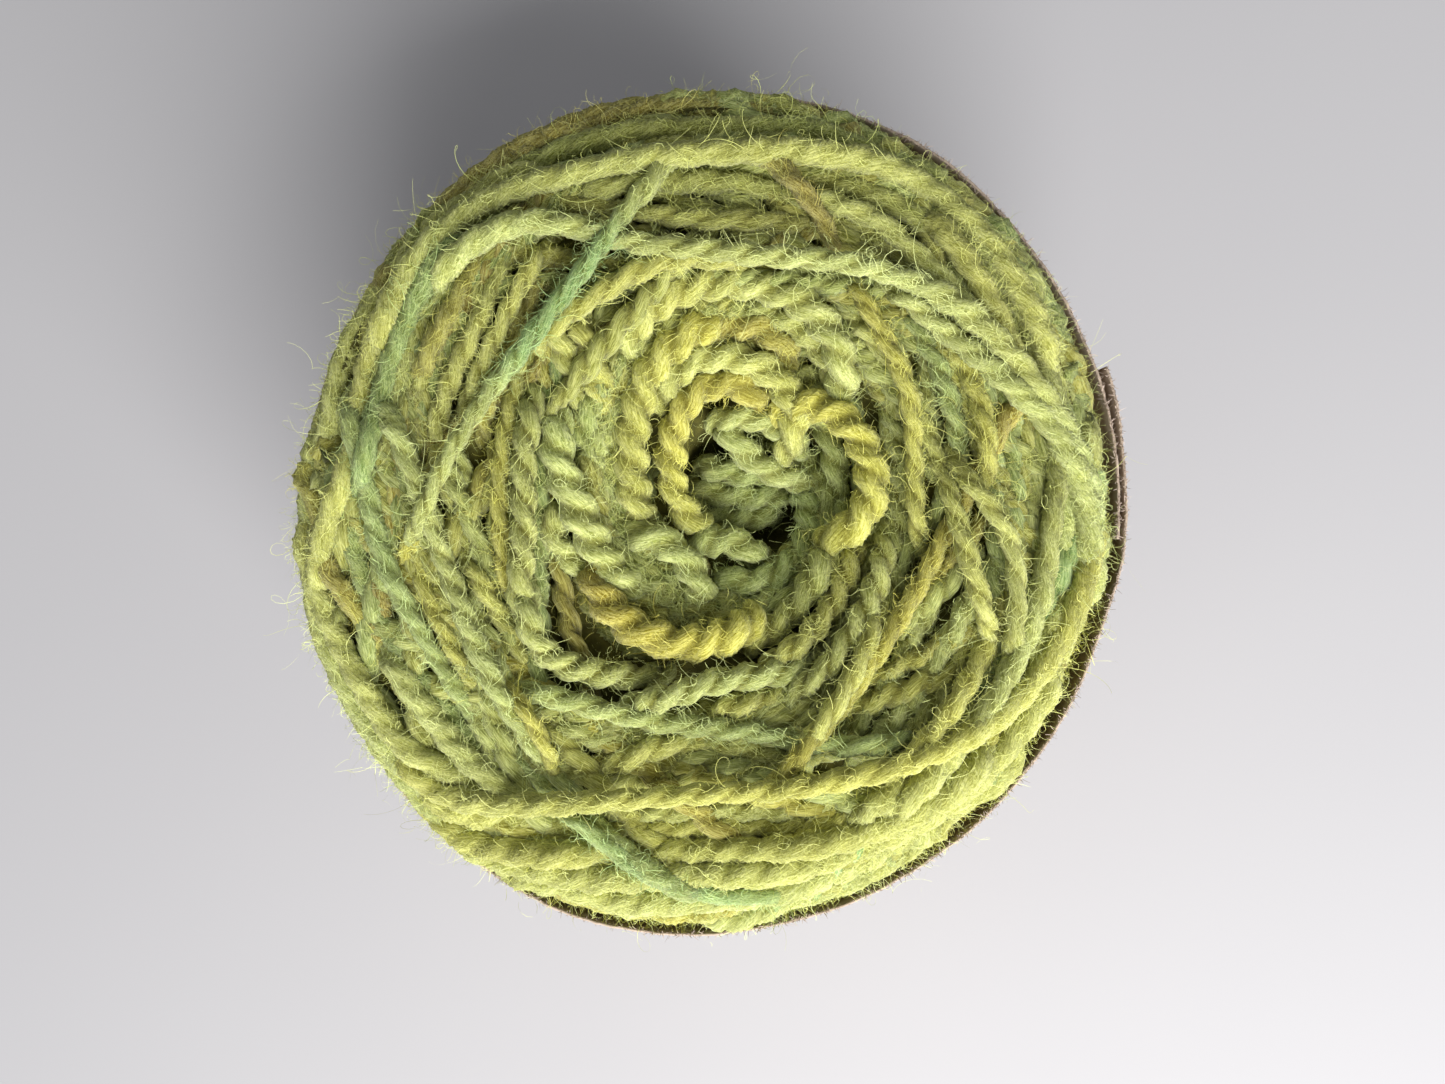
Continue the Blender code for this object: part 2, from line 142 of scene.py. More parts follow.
# Strands of the top, from the lowest to the uppermost. A place is where the camera sees the
# strand on the reading level, and past the rim it counts on down the side.
# Columns: name, dye at each end from 0 mint over 0.5 yellow-green to 1 gold, depth of the dye
# from 0 pale to 1 deep, half thickness, places.
TOP_STRANDS = (
    ("far_rim_gold", 0.86, 0.90, 0.98, 1.20,
     ((-37, 24), (-29.5, 27.5), (-25, 31.2), (-21, 34), (-16, 36.8), (-10, 38.7), (-3, 39.9), (4, 40),
      (11, 39.6), (17, 41))),
    ("rim_left", 0.50, 0.45, 0.65, 1.20,
     ((-41, -13), (-39, -5), (-38.8, 4), (-37.8, 11), (-35.5, 17.5), (-32, 23), (-29, 32))),
    ("rim_right", 0.62, 0.58, 0.30, 1.20,
     ((23, -38), (26.5, -28.5), (31, -22.5), (35, -15.8), (37.5, -8), (38.3, 0), (37.8, 7), (35.8, 14),
      (32.3, 21), (31, 30))),
    ("rim_far_right", 0.52, 0.58, 0.60, 1.20,
     ((43, 10), (36.8, 9), (35, 15.5), (31.8, 21.5), (28, 26.5), (23.3, 31), (17.5, 35), (11, 38),
      (3, 43))),
    ("rim_low", 0.56, 0.54, 0.10, 1.30,
     ((-40, -17), (-34, -20.5), (-29.3, -27), (-23, -33.3), (-14.5, -37.8), (-5, -39.8), (4, -39.8),
      (13, -37.6), (20, -35), (27, -36))),
    ("rim_low_right", 0.55, 0.60, 0.10, 1.20,
     ((-4, -45), (4, -40.5), (12, -37.3), (19, -33.2), (25.3, -28.4), (30, -23.4), (33.8, -17.6),
      (36.6, -11), (38.4, -3))),
    ("rim_low_left", 0.50, 0.48, 0.08, 1.30,
     ((-43, 6), (-38.4, 3), (-38.6, -5), (-37.7, -11.5), (-35.6, -16.8), (-32.3, -22), (-27.8, -27.8),
      (-21.5, -33.5), (-19, -40))),
    ("far_rim_sage", 0.50, 0.46, 0.80, 1.16,
     ((-33, 29), (-26.5, 29.5), (-20, 33.6), (-14, 35.8), (-7, 37.1), (0, 37.5), (8, 37.6), (14, 36.2),
      (19, 33.8), (27, 33))),
    ("rim_left_pale", 0.52, 0.60, 0.20, 1.16,
     ((-43, 2), (-38.2, 7.5), (-37, 13), (-35.3, 17.6), (-32.3, 21.8), (-29, 25.8), (-25, 29.4),
      (-19.5, 32.8), (-14, 34.5))),
    ("right_rim_in", 0.54, 0.60, 0.25, 1.16,
     ((39, -14), (38, -4), (37.3, 4), (35.8, 10.5), (34, 15.2), (31.2, 19.7), (28, 23.8), (25, 27.7),
      (21.3, 31.2), (15, 34.8))),
    ("front_high", 0.68, 0.60, 0.15, 1.30,
     ((-31, -25.5), (-24, -29.8), (-16, -31), (-8, -30.8), (0, -30.5), (8, -30.6), (14, -29.4),
      (20, -26.8), (25.5, -22.5))),
    ("lower_fill_a", 0.56, 0.50, 0.15, 1.25,
     ((-20, -27.5), (-13, -28.8), (-6, -29.4), (1, -29.2), (8, -28.8), (14, -27.6), (19.5, -25.6),
      (24, -23.6))),
    ("lower_fill_b", 0.50, 0.58, 0.12, 1.25,
     ((26, -25), (19, -30.4), (12, -33.8), (5, -36.2), (-3, -36.9), (-11, -36.8), (-18, -35))),
    ("lower_right_fill_a", 0.55, 0.50, 0.12, 1.25,
     ((36.4, -1.5), (35.4, -5), (33.6, -9), (31.4, -13.6), (28.6, -18), (25.4, -22.2), (21.6, -26.4),
      (17.4, -30.4))),
    ("lower_right_fill_b", 0.62, 0.55, 0.12, 1.25,
     ((27.4, -7), (25.8, -11.4), (23.6, -15.6), (20.8, -19.8), (17.6, -23.8), (14, -27.4))),
    ("lower_right_fill_c", 0.50, 0.56, 0.15, 1.25,
     ((23, -5), (21.4, -9.4), (19.2, -13.6), (16.6, -17.6), (13.6, -21.4), (10.4, -24.6))),
    ("lower_right_fill_d", 0.60, 0.54, 0.12, 1.25,
     ((38.5, -4), (37, -11), (34.4, -16.6), (31, -21.6), (27, -26), (22.6, -30), (17.6, -33.8))),
    ("right_column_sage", 0.34, 0.45, 0.25, 1.22,
     ((33, 15), (35.2, 8), (35.4, 2), (35.2, -3), (34.2, -7.5), (32.4, -12), (30, -16.2), (27.3, -20),
      (23.6, -23.8), (20, -27.2))),
    ("right_column_gold", 0.80, 0.62, 0.30, 1.22,
     ((27, 18), (30.5, 10), (31.8, 4), (31.7, -1), (31, -6), (29.4, -11), (27, -16), (24.3, -20.5),
      (20.4, -25), (17, -28.4))),
    ("right_column_pale", 0.58, 0.55, 0.10, 1.22,
     ((38, 12), (36.8, 5), (36.6, -3), (35.2, -9.5), (32.8, -14.8), (29.8, -19.6), (26, -24), (22, -28),
      (19, -31))),
    ("diagonal_low_a", 0.56, 0.60, 0.08, 1.28,
     ((36, -6), (34.2, -10.2), (31.5, -14.5), (28.3, -19.5), (25.2, -24), (21.9, -27.9),
      (19.4, -30.4))),
    ("front_lowest", 0.55, 0.52, 0.08, 1.35,
     ((-25, -38), (-16.5, -36.6), (-9, -38), (-1, -38.3), (7, -37.6), (15, -35), (22, -31), (29, -27),
      (36, -25))),
    ("front_low", 0.60, 0.56, 0.12, 1.35,
     ((-30, -33), (-21.5, -34), (-14, -35.6), (-6, -35.8), (2, -35.4), (10, -34.6), (18, -32),
      (25, -27.3), (31, -20), (35, -13))),
    ("front_middle", 0.66, 0.60, 0.20, 1.30,
     ((-36, -27), (-24.5, -31.8), (-16, -33.4), (-8, -33.3), (0, -33), (8, -32.8), (16, -31.2),
      (23, -27.5), (29, -21.5))),
    ("diagonal_low_c", 0.62, 0.55, 0.08, 1.28,
     ((24, -20.5), (19.8, -25.5), (17.1, -27.8), (14, -30), (12.2, -31.2))),
    ("diagonal_low_b", 0.50, 0.55, 0.08, 1.28,
     ((28, -17), (23.8, -23), (20.7, -26.6), (17.6, -29.4), (15.8, -31))),
    ("left_gold", 0.84, 0.52, 0.55, 1.04,
     ((-43, 8), (-38.5, 1), (-37.9, -3.8), (-36.4, -7.4), (-34, -11), (-31.2, -15.5), (-28, -20),
      (-24.3, -24.2), (-19, -28), (-12, -31))),
    ("left_sage", 0.22, 0.30, 0.55, 1.12,
     ((-38, 7), (-36, 1), (-34.4, -5), (-32.3, -9.5), (-29.7, -13.7), (-26.6, -18), (-23, -22.3),
      (-17.5, -27))),
    ("left_pale_low", 0.60, 0.55, 0.10, 1.12,
     ((-41, 2), (-38.6, -6), (-36.4, -12), (-33.4, -17.4), (-30, -22), (-26.6, -24.9), (-22.6, -27.2),
      (-18.2, -29.2), (-13, -31))),
    ("left_pale_low_b", 0.44, 0.50, 0.10, 1.12,
     ((-32.5, -11.5), (-30.5, -15.2), (-28, -18.6), (-25.6, -21.8), (-23, -24.7), (-19.5, -27.6),
      (-15.4, -30.6))),
    ("left_tan", 0.80, 0.68, 0.50, 1.08,
     ((-28.5, 3), (-28.3, -4.3), (-27, -9), (-25.2, -12.8), (-23, -16.4), (-20.2, -19.8),
      (-16.5, -22.8))),
    ("left_back_a", 0.55, 0.50, 0.45, 1.12,
     ((-35, 21), (-31.5, 16.8), (-29, 13.4), (-26.8, 10), (-25, 6.6), (-23.4, 3), (-22, -1.5))),
    ("left_back_b", 0.48, 0.55, 0.35, 1.12,
     ((-34, 16), (-30.6, 12), (-28.1, 8), (-26.2, 4), (-24.6, 0), (-22.9, -5.8), (-20.6, -9.6))),
    ("left_inner_a", 0.50, 0.46, 0.40, 1.12,
     ((-26.5, 9), (-25.3, 4), (-23.3, -1), (-21.7, -5), (-20.3, -8.8), (-18.6, -12.5))),
    ("slash_brown", 0.95, 0.85, 0.60, 1.08,
     ((-13.5, 26), (-16, 22.3), (-18.6, 18), (-20.5, 14.3), (-21.5, 10), (-21.8, 5))),
    ("slash_gold", 0.86, 0.75, 0.55, 1.08,
     ((-19.5, 28), (-22.3, 23.8), (-24.8, 19.6), (-27, 15.3), (-28.3, 10))),
    ("slash_far", 0.52, 0.50, 0.35, 1.08,
     ((-22.5, 29.5), (-25.6, 24.5), (-27.6, 19.5), (-29.6, 13), (-30.6, 8), (-31, 3.5), (-31.9, 0.3),
      (-33, -4))),
    ("slash_pale_a", 0.60, 0.56, 0.12, 1.12,
     ((-17.5, 27.8), (-20, 23.5), (-22, 18.9), (-23.8, 15), (-25.2, 11.6), (-26.5, 7.5), (-27.2, 3))),
    ("slash_pale_b", 0.66, 0.60, 0.18, 1.08,
     ((-14, 27.5), (-16.6, 24.2), (-18.6, 21), (-20.3, 17.6), (-21.8, 14.3), (-23.3, 10.6), (-24, 6))),
    ("far_olive", 0.70, 0.62, 0.75, 1.12,
     ((-18, 28.5), (-13, 29.3), (-8, 29), (-3, 28.3), (4, 28), (9, 27.4), (14, 26.2), (19, 23.5),
      (24, 19))),
    ("far_olive_b", 0.62, 0.55, 0.62, 1.12,
     ((-9, 33), (-3, 32.2), (4, 33), (10, 32.3), (16, 30.6), (21, 28), (25.5, 24), (29, 19),
      (31.5, 13))),
    ("far_pale", 0.60, 0.55, 0.55, 1.12,
     ((-15, 30), (-9.5, 31.2), (-3, 31.6), (3, 31.4), (8, 30), (12, 28.6), (16.3, 26.4), (20.5, 22.8),
      (24, 18.5))),
    ("pale_join", 0.50, 0.46, 0.18, 1.12,
     ((4, 31), (8.3, 30.2), (12.3, 29.3), (16.3, 27.7), (19.5, 25), (22.3, 22.2), (25.3, 18.8),
      (27.5, 14))),
    ("right_fill_a", 0.62, 0.70, 0.45, 1.12,
     ((19, 30), (22.5, 27), (25.5, 23), (27.8, 19), (29.6, 14.5), (30.3, 9), (30.2, 3), (29.4, -3),
      (27.8, -9), (25.2, -14.6), (21.6, -20))),
    ("right_fill_b", 0.50, 0.60, 0.40, 1.12,
     ((23, 30.5), (26.5, 26.3), (29.5, 21.6), (31.8, 16.6), (33.3, 11), (33.6, 5), (33.3, -2),
      (32, -8.4), (29.8, -14), (26.6, -19.6), (22.6, -24.6))),
    ("gold_dip", 0.86, 0.98, 0.40, 1.00,
     ((1.5, 37), (4.6, 34.6), (7, 32.8), (9, 30.7), (10.8, 28.3), (12.3, 25.4), (13.5, 22))),
    ("right_under_sage", 0.24, 0.35, 0.50, 1.12,
     ((16.5, 22), (20, 17.5), (22.7, 12.5), (24.2, 7), (24.4, 1.5), (23.5, -4))),
    ("right_low_sage", 0.36, 0.42, 0.20, 1.25,
     ((27, -3), (25.4, -8), (23.4, -12.2), (20.9, -16.2), (18.1, -20), (15, -23.4), (11, -26))),
    ("right_low_gold", 0.70, 0.66, 0.15, 1.20,
     ((30, -3.5), (28.4, -9), (26.8, -12.8), (24.8, -17), (22.2, -21), (19, -24.3), (15.6, -27.6))),
    ("pale_left", 0.66, 0.55, 0.10, 1.12,
     ((-22.5, 29.5), (-26.6, 26), (-30, 22), (-32.1, 18), (-33.6, 13.5), (-34.5, 9), (-35.3, 4),
      (-36.8, -1), (-38, -6), (-38, -11), (-36.6, -16.6), (-34.2, -21.4), (-30.8, -26.2),
      (-26.6, -30.6), (-21.5, -35))),
    ("left_inner_pale", 0.62, 0.66, 0.15, 1.12,
     ((-24.2, -3), (-22.9, -6.2), (-20.6, -9.7), (-18.7, -13), (-17.2, -15.9), (-15.4, -18.5))),
    ("left_stub_pale", 0.62, 0.64, 0.05, 0.98,
     ((-25.5, 8.5), (-26.4, 5.3), (-27.1, 2.3), (-28, -0.8), (-28.9, -3.4), (-29.9, -6),
      (-30.8, -8.2))),
    ("yellow_upright", 0.66, 0.82, 0.25, 1.08,
     ((-16.5, 17), (-18.4, 13), (-19.6, 8.5), (-20.3, 4), (-20.4, 0), (-20, -4), (-19.4, -7.6),
      (-18.4, -11))),
    ("left_sage_in", 0.34, 0.20, 0.24, 1.04,
     ((-36, 13), (-34.4, 8), (-33, 2.5), (-32, -3), (-30.3, -7.6), (-28, -11.8), (-25.4, -16),
      (-21.8, -20.6), (-18.2, -24.2), (-14.4, -27.6), (-10.6, -31), (-6.7, -34.2), (-2.4, -36.6),
      (3, -38.6))),
    ("mint_left", 0.10, 0.14, 0.42, 1.02,
     ((-21, 28), (-25.3, 25), (-27.7, 21.5), (-29.5, 18), (-31, 14), (-32.1, 10), (-33.1, 6),
      (-33.7, 2.6), (-34.2, -1))),
    ("near_band", 0.50, 0.60, 0.30, 1.30,
     ((-21, -22), (-15.7, -24.6), (-10, -26), (-3, -25.8), (3, -25.2), (8, -24.4), (13, -22.5),
      (17, -19.5))),
    ("near_olive", 0.52, 0.46, 0.30, 1.35,
     ((-18.5, -18.5), (-14.3, -20.6), (-9.3, -22), (-4, -21.5), (1, -19.4), (4.8, -18.5))),
    ("near_pale_c", 0.62, 0.50, 0.10, 1.30,
     ((-12, -25.6), (-8.6, -24.4), (-5, -23), (-1.2, -22.6), (3, -23), (7, -23.8), (11.5, -24.3))),
    ("near_pass", 0.36, 0.22, 0.15, 1.16,
     ((-20.8, -16.3), (-18.6, -17.2), (-15.5, -18.1), (-11, -19.3), (-6, -20.5), (-1, -21.1),
      (4, -21.6), (9, -22.6), (13.5, -23), (17.5, -22.7), (20.5, -22))),
    ("left_long_pale", 0.46, 0.40, 0.05, 1.18,
     ((-33, 12), (-30.4, 7.8), (-28.6, 3.6), (-26.7, -1.8), (-24.9, -6.6), (-22.9, -12), (-21, -16.5),
      (-19, -20), (-16.7, -23.3), (-14, -26.8))),
    ("near_hook", 0.46, 0.44, 0.20, 1.50,
     ((-17, -5), (-17.6, -8.4), (-17.2, -11.6), (-15.3, -14.2), (-12.3, -15.5), (-9, -15.9),
      (-5.5, -16), (-1.5, -15.6))),
    ("near_middle_b", 0.68, 0.62, 0.15, 1.40,
     ((-1.5, -20), (2, -19.1), (5.5, -18.3), (9, -17.2), (12.3, -15.7), (15, -13.3))),
    ("near_middle_a", 0.42, 0.46, 0.10, 1.50,
     ((-9, -19.6), (-6, -18.7), (-3, -18), (0, -17), (3.6, -16.4), (7.4, -15.8), (10.6, -14.8),
      (13.3, -12.6))),
    ("near_stub", 0.70, 0.74, 0.08, 0.94,
     ((-20.5, -15.6), (-18.7, -18.3), (-17, -21.2), (-15.5, -24.2), (-14.5, -27.5))),
    ("left_ring", 0.58, 0.50, 0.30, 1.45,
     ((-16.2, 13.5), (-17.4, 9), (-18, 4), (-17.9, -2), (-18.2, -7), (-17.6, -11.5))),
    ("right_ring_b", 0.40, 0.55, 0.40, 1.40,
     ((13.5, 17.5), (16.6, 12.5), (18, 7), (18.3, 2), (18.1, -3), (17.4, -8), (15.6, -12.3),
      (12.5, -16))),
    ("right_ring_a", 0.55, 0.60, 0.35, 1.45,
     ((6, -19.2), (9, -17.4), (11.6, -15.2), (13.8, -12.4), (15.6, -9), (16.8, -5), (17.2, -0.5))),
    ("front_turn_b", 0.66, 0.60, 0.50, 1.45,
     ((4.6, -16), (7.6, -14), (10, -11.6), (12.2, -8.4), (13.6, -5), (14.4, -1))),
    ("golden_pass", 0.98, 0.66, 0.25, 1.10,
     ((31.5, 14), (29.4, 10), (27.6, 6.6), (25.9, 3.4), (24.3, 0.3), (22.7, -2.9), (20.9, -6.2),
      (18.6, -10), (16, -14.2), (13, -18.6), (9.6, -22.8), (6.2, -26.6), (2.6, -30.4))),
    ("right_yellow_out", 0.74, 0.70, 0.20, 1.08,
     ((17.5, 22.5), (20.5, 19.8), (22.6, 17.3), (24.4, 14.5), (25.6, 11.7), (26.5, 8.8), (27, 5.2),
      (26.8, 0))),
    ("right_pass", 0.62, 0.58, 0.05, 1.16,
     ((12, 20.5), (16, 16.3), (19, 12), (20.9, 8.3), (22.4, 4.5), (23.7, 0.5), (24.9, -3.8), (26, -7.4),
      (27, -11), (27.4, -15))),
    ("right_yellow_in", 0.80, 0.70, 0.15, 1.12,
     ((12.3, 24), (15.2, 19.6), (17.3, 15.8), (18.9, 12.4), (19.7, 9), (19.9, 5.5), (19.9, 2),
      (20.1, -1.3), (20.7, -5))),
    ("right_diagonal_b", 0.62, 0.66, 0.15, 1.08,
     ((17.5, -7.5), (16.2, -11), (14.6, -14.5), (12.6, -18.3), (10.2, -21.6), (7.4, -24.6))),
    ("fork_right", 0.62, 0.60, 0.15, 1.02,
     ((22.8, 6.4), (24.4, 3.6), (26.5, 1), (28.3, -1.6), (29.5, -4.6), (30, -8.4), (29.6, -12.6),
      (28.2, -16.6))),
    ("right_wide_pale", 0.48, 0.44, 0.08, 1.20,
     ((15, 22.5), (18.6, 20.6), (21.7, 18), (24.6, 15.8), (27.5, 13.3), (30.3, 10.9), (33, 8.4),
      (35, 5.2), (36.3, 1), (36.8, -5), (39, -12))),
    ("pale_bar_left", 0.72, 0.60, 0.08, 1.16,
     ((6, 22.8), (2, 24), (-2, 24.2), (-6, 23.3), (-10, 21.3), (-13.5, 19), (-16, 16.6), (-18, 13.6))),
    ("crown_arc", 0.52, 0.46, 0.05, 1.16,
     ((-28, 20), (-25, 23.6), (-21.5, 26.2), (-17.5, 27.7), (-13, 27.3), (-8.5, 26.1), (-4, 25.5),
      (0, 25.1), (5, 24.5), (10, 24.2), (14, 23.7), (18, 22.6), (22, 20.9), (25.5, 18.6), (28.5, 15.8),
      (31.2, 12.4), (33.7, 8.6), (35.7, 4), (37, -2), (39, -9))),
    ("mint_front", 0.25, 0.16, 0.12, 0.80,
     ((-17, -27.6), (-14.6, -29.1), (-12.3, -30.5), (-9.5, -32.5), (-6.5, -34.6), (-3.2, -36.1),
      (1, -37.1), (6, -37.5), (11, -38.5))),
    ("near_chord", 0.64, 0.68, 0.08, 1.16,
     ((-33, -22), (-29.5, -24.7), (-27, -26.8), (-24, -28), (-20, -28.5), (-15, -28.6), (-10, -28.2),
      (-5, -27.9), (0, -27.7), (5, -27.4), (10, -26.7), (15, -25.7), (20, -24.3), (24, -22.7),
      (27.6, -20.3), (30.8, -17), (33.6, -12.8), (35.8, -8), (37.2, -3), (38, 3))),
    ("mint_pass", 0.44, 0.46, 0.16, 1.04,
     ((-1.6, 37.2), (-2.8, 35.2), (-4.2, 33.4), (-5.8, 31.4), (-7.6, 29.4), (-9.4, 27), (-11.4, 24.2),
      (-13.8, 21), (-16.6, 17.4), (-19, 14.2), (-21.5, 11), (-23.9, 7.4), (-25.8, 3.9), (-27.6, -0.3),
      (-29.5, -5))),
    ("far_arc", 0.60, 0.56, 0.08, 1.16,
     ((-33, 13), (-31, 19), (-28.5, 24), (-25, 27.5), (-20, 30.3), (-15, 31.9), (-10, 33), (-5, 34),
      (0, 34.3), (5, 34.5), (10, 34.3), (15, 33.6), (19, 32.2), (22.5, 30), (26, 26.6), (29, 22.5),
      (31.6, 17.6), (34, 11))),
)

# Stretches where a strand's dye turns from that of its ends.
# Columns: name, share of the length in the middle of the stretch, half width, dye.
DYE_STRETCHES = (
    ("mint_pass", 0.42, 0.26, 0.02),
    ("left_gold", 0.30, 0.12, 0.92),
    ("gold_dip", 0.55, 0.22, 1.00),
    ("mint_front", 0.50, 0.30, 0.10),
    ("near_chord", 0.52, 0.20, 0.70),
    ("right_column_gold", 0.25, 0.15, 0.95),
    ("golden_pass", 0.18, 0.14, 1.00),
)

# The relaxed loops about the sunken centre, each an arc of an ellipse.
# Columns: name, centre x and y, half width, half depth, end angles, height at each end,
# height added in the middle, dye at each end, depth of the dye, half thickness.
LOOPS = (
    ("floor_near", 3.0, 11.6, 12.0, 12.0, 238, 292, 40.6, 40.6, 0.0, 0.40, 0.34, 0.35, 1.50),
    ("floor_middle", 4.0, 13.6, 12.2, 12.0, 240, 290, 41.4, 41.2, 0.4, 0.36, 0.34, 0.30, 1.50),
    ("floor_far", 4.4, 15.8, 12.4, 12.0, 242, 288, 42.4, 42.0, 0.5, 0.34, 0.34, 0.30, 1.50),
    ("deep_brown", -4.6, -6.4, 3.2, 5.2, 60, -60, 44.6, 45.4, 0.0, 0.95, 0.90, 0.80, 1.50),
    ("left_hollow", -3.0, 2.5, 7.2, 7.0, 128, 246, 47.0, 45.4, 0.0, 0.40, 0.36, 0.55, 1.62),
    ("left_hollow_low", -2.2, 2.0, 5.2, 6.4, 140, 236, 44.6, 44.0, 0.0, 0.42, 0.40, 0.60, 1.55),
    ("left_hollow_high", -3.4, 4.6, 8.3, 8.4, 122, 212, 48.0, 47.2, 0.0, 0.46, 0.42, 0.50, 1.65),
    ("front_hollow_high", -2.2, -4.6, 8.2, 6.8, 196, 322, 47.0, 46.6, 0.0, 0.70, 0.50, 0.60, 1.60),
    ("front_hollow", -1.9, -5.0, 6.6, 5.4, 172, 318, 45.8, 45.2, 0.2, 0.86, 0.55, 0.60, 1.60),
    ("front_hollow_low", -1.0, -4.4, 4.2, 3.6, 180, 320, 43.6, 43.2, 0.0, 0.60, 0.50, 0.70, 1.50),
    ("deep_right", 7.4, -1.2, 4.2, 4.6, 80, -150, 40.6, 42.0, 0.0, 0.60, 0.50, 0.75, 1.50),
    ("hole_rim", 3.0, -1.0, 7.6, 6.4, 42, -114, 42.6, 47.2, 0.0, 0.30, 0.40, 0.20, 1.65),
    ("small_arc", 1.2, -8.6, 5.4, 5.6, 136, 44, 46.0, 45.4, 0.4, 0.46, 0.40, 0.15, 1.50),
    ("hole_cross", 3.0, 2.0, 7.7, 7.7, 116, 30, 46.4, 44.8, 0.6, 0.40, 0.36, 0.15, 1.45),
    ("hole_strand", 12.0, 15.6, 12.6, 12.6, 208, 266, 46.0, 43.4, 0.3, 0.42, 0.36, 0.12, 1.50),
    ("well_green", 10.4, 4.4, 2.6, 5.6, 100, -70, 46.0, 44.4, 0.6, 0.36, 0.40, 0.45, 1.45),
    ("tuft", -11.4, 5.4, 5.0, 3.8, 165, 50, 48.0, 47.4, 0.8, 0.72, 0.60, 0.45, 1.60),
    ("upper_stub_a", -25.0, 10.5, 12.0, 12.0, 36, -4, 52.4, 49.0, 0.2, 0.55, 0.60, 0.30, 1.50),
    ("upper_stub_b", -22.6, 11.0, 12.0, 12.0, 38, -8, 52.2, 48.8, 0.2, 0.66, 0.55, 0.30, 1.50),
    ("left_stub", -10.0, -1.5, 5.7, 4.6, 160, 250, 50.2, 48.6, 0.2, 0.46, 0.46, 0.10, 1.60),
    ("gold_patch", 3.2, 12.6, 5.4, 5.6, 130, 20, 48.8, 48.6, 0.8, 0.96, 0.76, 0.40, 1.55),
    ("inner_loop", 1.5, 5.0, 5.5, 7.6, 262, 40, 45.6, 48.4, 1.4, 0.62, 0.92, 0.12, 1.65),
    ("arch", 1.5, 8.8, 6.9, 6.2, 172, -36, 48.8, 46.4, 2.0, 0.66, 0.56, 0.08, 1.62),
    ("side_twist", -8.3, -9.8, 7.3, 7.6, 96, 0, 47.8, 48.0, 1.0, 0.44, 0.42, 0.14, 1.66),
    ("front_turn", -2.0, 5.5, 16.2, 20.0, 288, 333, 48.6, 47.8, 0.3, 0.60, 0.50, 0.55, 1.60),
    ("second_loop", 1.0, 5.5, 8.8, 12.7, 228, 84, 46.6, 50.8, 1.0, 0.56, 0.78, 0.10, 1.76),
    ("top_inner", 4.0, 10.8, 9.0, 8.3, 96, 8, 49.6, 49.0, 0.4, 0.60, 0.52, 0.40, 1.50),
    ("top_loop", 2.0, 12.0, 11.2, 9.9, 172, -8, 50.4, 50.8, 1.2, 0.52, 0.50, 0.06, 1.70),
    ("right_loop", 8.7, 2.9, 7.1, 7.4, 112, -72, 48.4, 48.4, 1.6, 0.90, 0.62, 0.06, 1.74),
    ("left_loop", 3.0, 10.0, 18.0, 22.0, 238, 180, 49.2, 51.2, 1.0, 0.42, 0.50, 0.05, 1.80),
    ("front_loop", -2.0, -5.3, 9.4, 7.9, 168, 322, 49.4, 49.4, 1.8, 1.00, 0.66, 0.12, 1.86),
    ("front_gap", -2.4, -5.6, 10.6, 9.6, 176, 262, 46.6, 46.2, 0.0, 0.64, 0.50, 0.55, 1.60),
    ("right_gap", 4.6, 8.0, 8.2, 7.4, 80, 5, 46.8, 46.6, 0.2, 0.60, 0.50, 0.50, 1.50),
)

# Turns from one pass to the next: in degrees, and as a share of a range
GOLDEN_TURN = 137.5
GOLDEN_SHARE = 0.618

# The seeds of the random draws
TOP_SEED, LOOP_SEED, FOOT_SEED, FUZZ_SEED, BAND_SEED, EDGE_SEED = 11, 23, 37, 101, 5, 6

# Slow wanders of the strands' places, thickness and dye, and of their plies' turn.
# Columns: length between its values, size.
FILL_WANDER = (14.0, 0.5)
TAUT_DRIFT = (9.0, 0.10)
TAUT_THICKNESS = (7.0, 0.06)
TAUT_DYE = (16.0, 0.05)
TAUT_DEEP = (12.0, 0.08)
RELAXED_DRIFT = (6.0, 0.16)
RELAXED_THICKNESS = (4.0, 0.05)
RELAXED_DYE = (10.0, 0.05)
RELAXED_DEEP = (9.0, 0.07)
FOOT_WANDER = (14.0, 0.08)
TURN_WANDER = (9.0, 0.35)

# How far apart the points of a strand lie
TAUT_STEP = 0.62
RELAXED_STEP = 0.55
FILL_STEP = 1.0

# The under layers of the top: chords at a closest distance, how far each reaches in degrees, and
# how each layer is shifted against the last. A dye is a middle, a width and two bounds.
FILL_LAYERS = 2
FILL_PASSES = 34
FILL_LAYER_SHARE = 0.37
FILL_LAYER_TURN = 61.0
FILL_CLOSEST = (15.0, 40.5)
FILL_REACH = (62.0, 36.0)
FILL_STRAIGHT = (0.72, 1.0)
FILL_THICK = 1.3
FILL_DYE = (0.55, 0.18, 0.05, 0.98)
FILL_DEEP = (0.35, 0.7)
SHOULDER_ROWS = 30
SHOULDER_AWAY = (38.0, 46.5)
SHOULDER_REACH = (30.0, 52.0)
SHOULDER_DRIFT = 1.6
SHOULDER_THICK = 1.12
SHOULDER_DYE = (0.60, 0.12, 0.2, 0.95)
SHOULDER_DEEP = (0.1, 0.6)
UNDER_ROWS = ("fill", "shoulder")
PASS_POINTS = 60

# The pile: its map's cell and half width, a strand's reach in cells, how flat it lies, how taut
# it is at first and at last, how often it is lifted back, the share of its breadth that rests,
# how broad a shape is taken off, the share of the rising way, and the top's level and rise
PILE_CELL = 0.4
PILE_HALF = 62.0
PILE_REACH = 4
PILE_SQUASH = 0.78
PILE_SPRING = 5.0
PILE_LAST_SPRING = 0.35
PILE_ROUNDS = 6
SUPPORT_SHARE = 0.72
PILE_BREADTH = 4.5
PILE_FLOOR_SHARE = 0.40
PILE_CEILING = 0.95
PILE_RISE = 0.45

